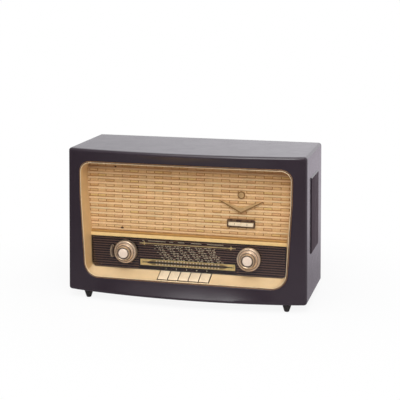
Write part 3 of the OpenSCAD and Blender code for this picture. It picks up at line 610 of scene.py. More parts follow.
def rounded(x0: float, x1: float, z0: float, z1: float, radius: float, count: int = 6) -> list[Flat]:
    """Returns the outline of a rectangle with rounded corners.

    Args:
        x0: its left side.
        x1: its right side.
        z0: its lower side.
        z1: its upper side.
        radius: the radius of its corners.
        count: how many points each corner has.

    Returns:
        The points, clockwise from the upper right corner.
    """
    corners = (((x1 - radius, z1 - radius), 90, 0), ((x1 - radius, z0 + radius), 0, -90),
               ((x0 + radius, z0 + radius), -90, -180), ((x0 + radius, z1 - radius), 180, 90))
    return [p for centre, start, end in corners for p in arc(centre, radius, start, end, count)]


def clean(bm: Shape) -> Shape:
    """Merges doubles and turns every face outwards.

    Args:
        bm: the mesh.

    Returns:
        The same mesh.
    """
    bmesh.ops.remove_doubles(bm, verts=bm.verts, dist=MERGE)
    bmesh.ops.recalc_face_normals(bm, faces=bm.faces)
    return bm


def sweep(rings: Sequence[Sequence[Vector]], closed: bool = True, loop: bool = False,
          caps: bool = False) -> Shape:
    """Extrudes a first ring of points through the places of the others.

    Args:
        rings: the rings, each with as many points as the first.
        closed: whether each ring runs back to its first point.
        loop: whether the last ring is joined to the first one.
        caps: whether the first and last ring are filled.

    Returns:
        The mesh. A face's material index is the number of the band it lies in.
    """
    bm = bmesh.new()
    order = bm.verts.layers.int.new("order")
    start = [bm.verts.new(p) for p in rings[0]]
    for index, vert in enumerate(start):
        vert[order] = index
    ends = start[1:] + start[:1] if closed else start[1:]
    edges = [bm.edges.new(pair) for pair in zip(start, ends)]
    first = list(edges)
    for number, ring in enumerate([*rings[1:], rings[0]] if loop else rings[1:]):
        grown = bmesh.ops.extrude_edge_only(bm, edges=edges)["geom"]
        verts = {v for v in grown if isinstance(v, bmesh.types.BMVert)}
        for vert in verts:
            vert.co = ring[vert[order]]
        for face in grown:
            if isinstance(face, bmesh.types.BMFace):
                face.material_index = number
        edges = [e for e in grown if isinstance(e, bmesh.types.BMEdge) and set(e.verts) <= verts]
    if caps:
        bmesh.ops.contextual_create(bm, geom=first)
        bmesh.ops.contextual_create(bm, geom=edges)
    return clean(bm)


def beam(profile: Sequence[Flat], left: float, right: float) -> Shape:
    """Returns a beam from left to right, with a profile of (y, z)."""
    return sweep([[Vector((x, y, z)) for y, z in profile] for x in (left, right)], caps=True)


def lathe(profile: Sequence[Flat], centre: Flat, steps: int = 64) -> Shape:
    """Turns a profile round an axis that runs from front to back.

    Args:
        profile: points of (radius, y).
        centre: the axis's x and z.
        steps: how many steps the turn has.

    Returns:
        The turned mesh.
    """
    bm = bmesh.new()
    verts = [bm.verts.new((centre[0] + r, y, centre[1])) for r, y in profile]
    edges = [bm.edges.new(pair) for pair in zip(verts, verts[1:])]
    bmesh.ops.spin(bm, geom=verts + edges, cent=(centre[0], 0, centre[1]), axis=(0, 1, 0), angle=math.tau,
                   steps=steps, use_merge=True)
    return clean(bm)


def stand(bm: Shape, centre: Flat) -> Shape:
    """Stands a turned mesh up, so that what faced the front faces down.

    Args:
        bm: the mesh, turned round the middle.
        centre: the x and y that it is moved to.

    Returns:
        The same mesh.
    """
    bmesh.ops.rotate(bm, cent=(0, 0, 0), matrix=Matrix.Rotation(math.pi / 2, 3, "X"), verts=bm.verts)
    bmesh.ops.translate(bm, vec=(centre[0], centre[1], 0), verts=bm.verts)
    return bm


def prism(outline: Sequence[Flat], front: float, back: float) -> Shape:
    """Makes a plate.

    Args:
        outline: its outline in x and z.
        front: the y of its front.
        back: the y of its back.

    Returns:
        The plate.
    """
    bm = bmesh.new()
    face = bm.faces.new([bm.verts.new((x, back, z)) for x, z in outline])
    grown = bmesh.ops.extrude_face_region(bm, geom=[face])["geom"]
    moved = [v for v in grown if isinstance(v, bmesh.types.BMVert)]
    bmesh.ops.translate(bm, vec=(0, front - back, 0), verts=moved)
    bmesh.ops.recalc_face_normals(bm, faces=bm.faces)
    return bm


def soften(bm: Shape, width: float, segments: int = 2, least: float = 50.0) -> Shape:
    """Bevels the sharp edges.

    Args:
        bm: the mesh.
        width: the width of the bevel.
        segments: how many faces it has across.
        least: the smallest angle of an edge that counts as sharp, in degrees.

    Returns:
        The same mesh.
    """
    edges = [e for e in bm.edges if e.is_manifold and e.calc_face_angle() > math.radians(least)]
    bmesh.ops.bevel(bm, geom=edges, offset=width, offset_type="OFFSET", segments=segments, profile=0.5,
                    affect="EDGES", material=-1, clamp_overlap=True)
    return bm


def block(low: Point, high: Point, bevel: float = 0.0, segments: int = 2) -> Shape:
    """Makes a block.

    Args:
        low: its low corner.
        high: its high corner.
        bevel: the width of the bevel on its edges. They stay sharp at 0.
        segments: how many faces the bevel has across.

    Returns:
        The block.
    """
    bm = bmesh.new()
    middle = (Vector(low) + Vector(high)) / 2
    size = Vector(high) - Vector(low)
    bmesh.ops.create_cube(bm, size=1.0, matrix=Matrix.Translation(middle) @ Matrix.Diagonal((*size, 1)))
    return soften(bm, bevel, segments) if bevel else bm


def slice_across(bm: Shape, point: Point, normal: Point) -> None:
    """Adds edges to a mesh where a plane crosses it."""
    everything = [*bm.verts, *bm.edges, *bm.faces]
    bmesh.ops.bisect_plane(bm, geom=everything, plane_co=point, plane_no=normal, dist=MERGE)


def paint(bm: Shape, choose: Callable[[Vector], int]) -> Shape:
    """Gives each face the material number that choose gives for its centre.

    Args:
        bm: the mesh.
        choose: gives a material number for a place.

    Returns:
        The same mesh.
    """
    for face in bm.faces:
        face.material_index = choose(face.calc_center_median())
    return bm


def tint(bm: Shape, number: int) -> Shape:
    """Gives every face of a mesh one material number."""
    return paint(bm, lambda _: number)


def into_mesh(bm: Shape, name: str) -> bpy.types.Mesh:
    """Moves a shape to a named mesh of Blender's.

    Args:
        bm: the shape. It is freed.
        name: the name.

    Returns:
        The named mesh.
    """
    mesh = bpy.data.meshes.new(name)
    bm.to_mesh(mesh)
    bm.free()
    return mesh


def in_scene(name: str, data: bpy.types.ID) -> bpy.types.Object:
    """Puts a new object in the scene.

    Args:
        name: its name.
        data: its mesh, curve, lamp or camera.

    Returns:
        The object.
    """
    made = bpy.data.objects.new(name, data)
    bpy.context.scene.collection.objects.link(made)
    return made


def finished_shape(holder: bpy.types.Object) -> Shape:
    """Reads an object's shape as its modifiers leave it.

    Args:
        holder: the object.

    Returns:
        A copy of its shape.
    """
    mesh = bpy.data.meshes.new_from_object(holder.evaluated_get(bpy.context.evaluated_depsgraph_get()))
    bm = bmesh.new()
    bm.from_mesh(mesh)
    bpy.data.meshes.remove(mesh)
    return bm


def join(parts: Sequence[Shape]) -> Shape:
    """Puts several meshes into the first of them.

    Args:
        parts: the meshes. All but the first are freed.

    Returns:
        The first mesh.
    """
    whole = parts[0]
    for part in parts[1:]:
        mesh = into_mesh(part, "joined")
        whole.from_mesh(mesh)
        bpy.data.meshes.remove(mesh)
    return whole


def cut(bm: Shape, tool: Shape) -> Shape:
    """Cuts one closed mesh out of another.

    Args:
        bm: the mesh that is cut. It is freed.
        tool: the mesh that is taken away. It is freed.

    Returns:
        What is left.
    """
    body = in_scene("cut_body", into_mesh(bm, "cut_body"))
    knife = in_scene("cut_tool", into_mesh(tool, "cut_tool"))
    boolean = body.modifiers.new("cut", "BOOLEAN")
    boolean.operation = "DIFFERENCE"
    boolean.solver = "EXACT"
    boolean.object = knife
    left = finished_shape(body)
    for piece in (body, knife):
        mesh = piece.data
        bpy.data.objects.remove(piece)
        bpy.data.meshes.remove(mesh)
    return left


def numeral(text: str, height: float, centre: Flat, front: float, depth: float) -> Shape:
    """Makes a plain number in low relief.

    Args:
        text: the digits.
        height: the height of a digit.
        centre: the middle of the number, in x and z.
        front: the y of its front.
        depth: how thick it is.

    Returns:
        The mesh of the number.
    """
    share_of_line = 0.7
    curve = bpy.data.curves.new("numeral", "FONT")
    curve.body = text
    curve.align_x = "CENTER"
    curve.align_y = "CENTER"
    curve.size = height / share_of_line
    curve.extrude = depth / 2
    curve.resolution_u = 2
    holder = in_scene("numeral", curve)
    bm = finished_shape(holder)
    bpy.data.objects.remove(holder)
    bpy.data.curves.remove(curve)
    place = Matrix.Translation((centre[0], front + depth / 2, centre[1]))
    bmesh.ops.transform(bm, matrix=place @ Matrix.Rotation(math.pi / 2, 4, "X"), verts=bm.verts)
    return clean(bm)


def settle(bm: Shape, name: str, body: str, finishes: Sequence[Finish],
           replaces: Sequence[str] = ()) -> bpy.types.Object:
    """Places a shaped mesh in the shared frame as a finished piece.

    Args:
        bm: the mesh, in case millimetres. It is freed.
        name: the piece's name.
        body: the CAD body it rides on.
        finishes: its finishes, in the order of its material numbers.
        replaces: the CAD nodes that it stands for.

    Returns:
        The piece.
    """
    bmesh.ops.transform(bm, matrix=TO_METRES, verts=bm.verts)
    mesh = into_mesh(bm, name)
    for finish in finishes:
        mesh.materials.append(finish.material())
    mesh.shade_smooth()
    mesh.set_sharp_from_angle(angle=SMOOTH_ANGLE)
    piece = in_scene(name, mesh)
    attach(piece, body)
    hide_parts(*replaces)
    LOG.info("%s: %d faces on %s", name, len(mesh.polygons), body)
    return piece


# The shape that the case and all that lines its opening share


@dataclass(frozen=True)
class Outline:
    """A rounded outline, wider at the top, as the front opening has it."""

    half: float = 221.3
    top: float = 276.5
    bottom: float = 32.1
    draw: float = 7.0
    upper_r: float = 24.0
    lower_r: float = 33.0
    bend_r: float = 60.0
    bend_z: float = 207.5

    def lean(self) -> float:
        """Works out how the sides draw in below the bend.

        Returns:
            Their angle, in degrees.
        """
        low_x = self.half - self.draw - self.lower_r
        run = Vector((low_x - (self.half - self.bend_r), self.bottom + self.lower_r - self.bend_z))
        swing = math.asin((self.bend_r - self.lower_r) / run.length)
        return math.degrees(swing - math.atan2(run.x, -run.y))

    def right(self, inset: float) -> list[Flat]:
        """Returns the right side from the top edge to the bottom edge.

        Args:
            inset: how far the outline is drawn in.

        Returns:
            The points, always as many.
        """
        lean = self.lean()
        upper = arc((self.half - self.upper_r, self.top - self.upper_r), self.upper_r - inset, 90, 0, 10)
        bend = arc((self.half - self.bend_r, self.bend_z), self.bend_r - inset, 0, -lean, 4)
        low_centre = (self.half - self.draw - self.lower_r, self.bottom + self.lower_r)
        lower = arc(low_centre, self.lower_r - inset, -lean, -90, 14)
        return [*upper, *between(upper[-1], bend[0], 8), *bend, *between(bend[-1], lower[0], 12), *lower]

    def points(self, inset: float = 0.0) -> list[Flat]:
        """Returns the whole outline.

        Args:
            inset: how far it is drawn in.

        Returns:
            The points, clockwise from the upper right corner.
        """
        right = self.right(inset)
        left = [(-x, z) for x, z in reversed(right)]
        return [*right, *between(right[-1], left[0], 48), *left, *between(left[-1], right[0], 48)]


OPENING = Outline()


@dataclass(frozen=True)
class Bow:
    """The bowed front: a shallow middle between two cheeks that fall away."""

    cheek_x: float = 202.5
    cheek_out: float = 25.0
    cheek_run: float = 50.0
    fall: Flat = (8.4, 3.2)
    offsets: tuple[float, ...] = (-14, -7, 0, 7, 14)

    def bare(self, x: float, crown: float) -> float:
        """Returns how far the front stands before the datum plane, with a crease beside each cheek.

        Args:
            x: the place across the front.
            crown: how far the front stands out at its middle.

        Returns:
            The distance.
        """
        reach = abs(x)
        if reach <= self.cheek_x:
            return crown - (crown - self.cheek_out) * (reach / self.cheek_x) ** 2
        past = (reach - self.cheek_x) / self.cheek_run
        return self.cheek_out - self.fall[0] * past - self.fall[1] * past**2

    def swell(self, x: float, crown: float) -> float:
        """Returns the same distance with the crease smoothed away."""
        return sum(self.bare(x + d, crown) for d in self.offsets) / len(self.offsets)


FRONT = Bow()
RIM_CROWN = 27.0


def swell(x: float) -> float:
    """Returns how far the rim of the opening stands before the datum plane."""
    return FRONT.swell(x, RIM_CROWN)


def rim_ring(outline: Sequence[Flat], proud: float) -> list[Vector]:
    """Returns the outline's points on the rim's bowed surface, standing proud of it."""
    return [Vector((x, -swell(x) - proud, z)) for x, z in outline]


def level_ring(outline: Sequence[Flat], y: float) -> list[Vector]:
    """Returns the outline's points at one depth."""
    return [Vector((x, y, z)) for x, z in outline]


@dataclass
class MouldedCase:
    """The moulded case with its raised side pads, and the feet under it."""

    half: float = 252.5
    height: float = 301.0
    depth: float = CASE_DEPTH
    wall: float = 4.0
    edge: float = 6.0
    margin: float = 8.0
    front_steps: tuple[float, ...] = (0.0, 0.1, 0.3, 0.55, 0.8, 1.0)
    edge_crown: float = 42.0
    crown_power: float = 1.25
    side_lean: float = 5.5
    lean_run: float = 23.2
    bow_end: float = 30.0
    bow_fade: float = 18.0
    pad_y: Flat = (38.0, 129.0)
    pad_z: Flat = (94.4, 252.6)
    pad_rise: float = 2.2
    pad_slope: float = 2.6
    pad_bevel: float = 0.4
    foot_x: float = 211.0
    foot_ys: Flat = (-5.0, 163.0)
    foot_height: float = 16.5
    foot_top_r: float = 10.5
    foot_tread_r: float = 5.0

    def build(self) -> None:
        """Builds the case and the feet."""
        self.shell()
        self.feet()

    def frame_ring(self) -> list[Flat]:
        """Finds where the lines square to the opening's edge meet the margin of the front.

        Returns:
            One point for each of the opening's points, with one exactly on each corner.
        """
        x_end = self.half - self.margin
        low, high = self.margin, self.height - self.margin
        ring: list[Flat] = []
        for (x, z), (ix, iz) in zip(OPENING.points(0), OPENING.points(1)):
            dx, dz = x - ix, z - iz
            reach = []
            if abs(dx) > MERGE:
                reach.append((math.copysign(x_end, dx) - x) / dx)
            if abs(dz) > MERGE:
                reach.append(((high if dz > 0 else low) - z) / dz)
            t = min(r for r in reach if r > 0)
            ring.append((x + dx * t, z + dz * t))
        for corner in [(sx * x_end, z) for sx in SIDES for z in (low, high)]:
            nearest = min(range(len(ring)), key=lambda i: math.dist(ring[i], corner))
            ring[nearest] = corner
        return ring

    def edge_ring(self, ring: Sequence[Flat]) -> list[Flat]:
        """Moves the margin's points out to the edges of the front.

        Args:
            ring: the margin's points.

        Returns:
            The moved points.
        """
        moved = []
        for x, z in ring:
            on_side = abs(abs(x) - (self.half - self.margin)) < MERGE
            low, high = z < self.margin + MERGE, z > self.height - self.margin - MERGE
            moved.append((math.copysign(self.half, x) if on_side else x,
                          0.0 if low else self.height if high else z))
        return moved

    def warp(self, point: Vector) -> Vector:
        """Bows the front of the square case and leans its sides.

        Args:
            point: a point of the square case.

        Returns:
            Where it goes.
        """
        above = max(0.0, (point.z - OPENING.top) / (self.height - self.edge - OPENING.top))
        below = max(0.0, (OPENING.bottom - point.z) / (OPENING.bottom - self.edge))
        rise = min(1.0, max(above, below)) ** self.crown_power
        crown = RIM_CROWN + (self.edge_crown - RIM_CROWN) * rise
        fade = min(1.0, max(0.0, (self.bow_end - point.y) / self.bow_fade))
        weight = min(1.0, max(0.0, (abs(point.x) - OPENING.half) / self.lean_run))
        weight = weight * weight * (3 - 2 * weight)
        x = point.x * (1 - self.side_lean * point.z / self.height / self.half * weight)
        return Vector((x, point.y - FRONT.swell(point.x, crown) * fade, point.z))

    def shell(self) -> None:
        """Builds the case: bowed front, rounded edges, leaning sides with raised pads, open back."""
        opening, margin = OPENING.points(), self.frame_ring()
        rings = [[(a[0] + (b[0] - a[0]) * t, a[1] + (b[1] - a[1]) * t) for a, b in zip(opening, margin)]
                 for t in self.front_steps]
        edge = self.edge_ring(margin)
        depths = (0, 12, self.bow_end, *self.pad_y, self.depth - 3, self.depth)
        bm = sweep([level_ring(r, 0) for r in rings] + [level_ring(edge, y) for y in depths])
        soften(bm, self.edge, 5)
        for z in self.pad_z:
            slice_across(bm, (0, 0, z), (0, 0, 1))
        tint(bm, 0)
        for side in SIDES:
            self.raise_pad(bm, side)
        for vert in bm.verts:
            vert.co = self.warp(vert.co)
        bmesh.ops.recalc_face_normals(bm, faces=bm.faces)
        piece = settle(bm, "moulded_case", "cabinet", [LACQUER, PAD], ["case_shell"])
        thick = piece.modifiers.new("wall", "SOLIDIFY")
        thick.thickness = self.wall * MM
        thick.offset = -1

    def under_pad(self, middle: Vector, side: int) -> bool:
        """Returns whether a face with that middle lies where the pad on a side goes."""
        return (middle.x * side > self.half - 0.5 and self.pad_y[0] < middle.y < self.pad_y[1]
                and self.pad_z[0] < middle.z < self.pad_z[1])

    def raise_pad(self, bm: Shape, side: int) -> None:
        """Raises the pad on one side, with sloping upper and lower edges.

        Args:
            bm: the square case.
            side: the side, 1 or -1.
        """
        faces = [f for f in bm.faces if self.under_pad(f.calc_center_median(), side)]
        grown = bmesh.ops.extrude_face_region(bm, geom=faces)["geom"]
        bmesh.ops.delete(bm, geom=[f for f in faces if f.is_valid], context="FACES")
        low, high = self.pad_z[0] + self.pad_slope, self.pad_z[1] - self.pad_slope
        for vert in [v for v in grown if isinstance(v, bmesh.types.BMVert)]:
            vert.co = (side * (self.half + self.pad_rise), vert.co.y, min(high, max(low, vert.co.z)))
        bmesh.ops.dissolve_degenerate(bm, edges=bm.edges, dist=MERGE)
        outer = [f for f in bm.faces if f.calc_center_median().x * side > self.half + self.pad_rise - 0.1]
        for face in outer:
            face.material_index = 1
        rim = [e for e in {e for f in outer for e in f.edges} if not set(e.link_faces).issubset(outer)]
        bmesh.ops.bevel(bm, geom=rim, offset=self.pad_bevel, segments=2, affect="EDGES", profile=0.5,
                        material=-1)

    def feet(self) -> None:
        """Builds the four tapered feet, each with a tread line and a dished screw hole."""
        low, top_r, tread_r = -self.foot_height, self.foot_top_r, self.foot_tread_r
        profile = [(0, low + 2.5), (1.8, low + 2.5), (2.1, low + 0.4), (2.6, low), (tread_r - 0.8, low),
                   (tread_r, low + 0.8), (top_r - 0.9, -1.4), (top_r, -0.9), (top_r, 0), (0, 0)]
        spun = [stand(lathe(profile, (0, 0), 40), (side * self.foot_x, y))
                for side in SIDES for y in self.foot_ys]
        settle(join(spun), "tapered_feet", "cabinet", [RUBBER], ["feet"])


@dataclass
class FrontBead:
    """The metal bead round the opening."""

    profile: tuple[Flat, ...] = ((0.1, -3.5), (0.1, 0.3), (0.3, 0.7), (0.6, 0.8), (0.9, 0.6), (1.05, 0.1),
                                 (2.15, 0.0), (2.3, 0.7), (2.7, 1.15), (3.2, 1.05), (3.55, 0.4), (3.6, -3.5))
    groove: tuple[int, int] = (5, 6)

    def build(self) -> None:
        """Builds the bead: a thin gold round, a groove darkened as painted shade, and a lip inside it made
        pale as a painted highlight.
        """
        bm = sweep([rim_ring(OPENING.points(inset), proud) for inset, proud in self.profile], loop=True)
        first, last = self.groove
        # The groove takes painted shade and the lip a painted highlight.
        for face in bm.faces:
            number = face.material_index
            face.material_index = 0 if number < first else 1 if number <= last else 2
        settle(bm, "front_bead", "cabinet", [BEAD_GOLD, BEAD_GROOVE_SHADE, BEAD_LIP_HIGHLIGHT],
               ["opening_trim"])


@dataclass
class Bezel:
    """The tray that lines the opening, and the rail between dial and cloth.

    rail is the rail's profile, in y and z. sags are shares of the way from the front edge to the mouth,
    each with how far the sill hangs there.
    """

    inner: Outline = Outline(half=214.6, top=272.0, bottom=47.9, draw=7.6, upper_r=17.5, lower_r=11.0)
    front_inset: float = 3.7
    sunk: float = 0.3
    lap: Flat = (0.4, 4.2)
    sags: tuple[Flat, ...] = ((0.08, 0.5), (0.3, 0.9), (0.6, 0.8), (0.9, 0.2), (0.96, 0.0))
    mouth: float = 5.0
    back: float = 11.5
    skin: float = 2.2
    low_half: float = 207.0
    spread_z: float = 128.0
    spread: float = 0.09
    gap_half: float = 55.4
    sill_tilt: float = 0.6
    rail_half: float = 207.5
    rail: tuple[Flat, ...] = ((11.0, 127.0), (6.2, 127.0), (5.4, 126.6), (4.8, 125.5), (4.8, 123.6),
                              (5.3, 122.7), (5.3, 122.2), (4.5, 121.4), (4.2, 118.6), (4.4, 115.9),
                              (5.4, 114.7), (11.0, 114.6))
    cream_top: float = 122.1
    groove_top: float = 122.8
    groove_back: float = 6.5

    def build(self) -> None:
        """Builds the tray and the rail."""
        self.tray()
        settle(paint(beam(self.rail, -self.rail_half, self.rail_half), self.rail_band), "dial_bar", "cabinet",
               [RAIL_GOLD, RAIL_CREAM, RAIL_GROOVE_SHADE], ["dial_rail"])

    def wall_half(self, z: float) -> float:
        """Returns how far out the tray's side walls stand at their back."""
        return min(self.inner.half, self.low_half + max(0.0, z - self.spread_z) * self.spread)

    def back_points(self, out: float = 0.0) -> list[Flat]:
        """Returns the outline of the tray's back edge.

        Args:
            out: how far it is moved out.

        Returns:
            The points, as many as the opening has.
        """
        moved = []
        for x, z in self.inner.points(-out):
            straight = self.inner.bottom + self.inner.lower_r < z < self.inner.top - self.inner.upper_r
            moved.append((math.copysign(self.wall_half(z) + out, x) if straight else x, z))
        return moved

    def slope_ring(self, share: float, sag: float) -> list[Vector]:
        """Returns one ring of the tray's sloping walls.

        Args:
            share: how far the ring lies from the front edge to the mouth.
            sag: how far the sill hangs under the straight line between them.

        Returns:
            The ring's points.
        """
        ring = []
        for (fx, fz), (bx, bz) in zip(OPENING.points(self.front_inset), self.back_points()):
            start = -swell(fx) + self.sunk
            low = sag if fz < SILL_TOP else 0.0
            ring.append(Vector((fx + (bx - fx) * share, start + (self.mouth - start) * share,
                                fz + (bz - fz) * share - low)))
        return ring

    def tray(self) -> None:
        """Builds the tray, with a gap in its sill for the wave keys, and a paler cream on the sill's upward
        faces as painted light.
        """
        back = self.back_points()
        rings = [rim_ring(OPENING.points(self.front_inset), -self.sunk)]
        rings += [self.slope_ring(share, sag) for share, sag in self.sags]
        rings += [level_ring(back, self.mouth), level_ring(back, self.back),
                  level_ring(self.back_points(self.skin), self.back),
                  rim_ring(OPENING.points(self.front_inset - self.lap[0]), -self.lap[1])]
        bm = sweep(rings, loop=True)
        for side in SIDES:
            slice_across(bm, (KEY_X + side * self.gap_half, 0, 0), (1, 0, 0))
        gone = [f for f in bm.faces if abs(f.calc_center_median().x - KEY_X) < self.gap_half
                and f.calc_center_median().z < SILL_TOP]
        bmesh.ops.delete(bm, geom=gone, context="FACES")
        bmesh.ops.holes_fill(bm, edges=[e for e in bm.edges if e.is_boundary], sides=0)
        bmesh.ops.recalc_face_normals(bm, faces=bm.faces)
        # Upward faces of the sill take the paler cream: painted light from above.
        for face in bm.faces:
            lit_sill = face.normal.z > self.sill_tilt and face.calc_center_median().z < SILL_TOP
            face.material_index = int(lit_sill)
        settle(bm, "bezel", "cabinet", [CREAM, SILL_PAINTED_LIGHT], ["bezel_tray"])

    def rail_band(self, middle: Vector) -> int:
        """Tells the rail's amber band, its bright cream band and its groove, painted brown as shade, apart.

        Args:
            middle: the middle of a face.

        Returns:
            0 on the amber band, 1 on the cream band and 2 in the groove.
        """
        if middle.z < self.cream_top:
            return 1
        # In the groove: painted shade.
        return 2 if middle.z < self.groove_top and middle.y < self.groove_back else 0


@dataclass
class GrilleCloth:
    """The woven cloth, its stitches, and a few specks on it."""

    low: float = 121.6
    high: float = 272.0
    half: float = 214.8
    depth: float = 0.9
    rows_per_rib: int = 12
    columns_per_brick: int = 6
    specks: tuple[Point, ...] = ((-154.0, 261.5, 2.4), (-141.0, 133.0, 3.2), (35.0, 145.0, 1.5))

    def relief(self, x: float, z: float) -> float:
        """Returns how far the cloth stands out at a point.

        Args:
            x: the place across.
            z: the place up.

        Returns:
            The height over the cloth's ground.
        """
        level = (z - CLOTH.first_rib) % CLOTH.pitch
        rib = max(0.0, 1 - (min(level, CLOTH.pitch - level) / 1.9) ** 2)
        brick = max(0.0, 1 - ((level - CLOTH.brick_level) / CLOTH.brick_rise) ** 2)
        across = (x / CLOTH.brick) % 1.0
        pillow = min(1.0, 6 * min(across, 1 - across))
        return 0.7 * math.sqrt(rib) + 0.5 * brick * pillow

    def build(self) -> None:
        columns = round(2 * self.half / CLOTH.brick * self.columns_per_brick)
        rows = round((self.high - self.low) / CLOTH.pitch * self.rows_per_rib)
        bm = bmesh.new()
        place = Matrix.Translation((0, CLOTH_Y, (self.low + self.high) / 2)) @ Matrix.Rotation(
            math.pi / 2, 4, "X") @ Matrix.Diagonal((self.half, (self.high - self.low) / 2, 1, 1))
        bmesh.ops.create_grid(bm, x_segments=columns, y_segments=rows, size=1.0, matrix=place)
        for vert in bm.verts:
            vert.co.y = CLOTH_Y + self.depth - self.relief(vert.co.x, vert.co.z)
        cloth = settle(bm, "woven_cloth", "cabinet", [CLOTH], ["grille_cloth"])
        sewn = [settle(self.stitches(), "cloth_stitches", "cabinet", [STITCH]),
                settle(self.flecks(), "cloth_specks", "cabinet", [SPECK])]

    def stitches(self) -> Shape:
        """Makes the short upright stitches between the bricks.

        Returns:
            The mesh of them all.
        """
        chance = random.Random(7)
        rise, clear = CLOTH.brick_rise, 2.5
        front, back = CLOTH_Y + 0.2, CLOTH_Y + 1.0
        made = []
        ribs = int((self.high - self.low) / CLOTH.pitch) + 1
        steps = int(self.half / CLOTH.brick)
        for row in range(-1, ribs):
            z = CLOTH.first_rib + row * CLOTH.pitch + CLOTH.brick_level
            if not self.low + clear < z < self.high - clear:
                continue
            for step in range(-steps, steps + 1):
                x = step * CLOTH.brick + chance.uniform(-0.35, 0.35)
                wide = 0.6 + chance.uniform(-0.12, 0.15)
                made.append(block((x - wide, front, z - rise), (x + wide, back, z + rise), 0.3, 1))
        return join(made)

    def flecks(self) -> Shape:
        """Makes the dark specks.

        Returns:
            The mesh of them all.
        """
        made = []
        for x, z, radius in self.specks:
            bm = bmesh.new()
            size = Matrix.Diagonal((radius, 0.6, radius * 0.8, 1))
            bmesh.ops.create_uvsphere(bm, u_segments=14, v_segments=8, radius=1.0,
                                      matrix=Matrix.Translation((x, CLOTH_Y + 0.7, z)) @ size)
            made.append(bm)
        return join(made)


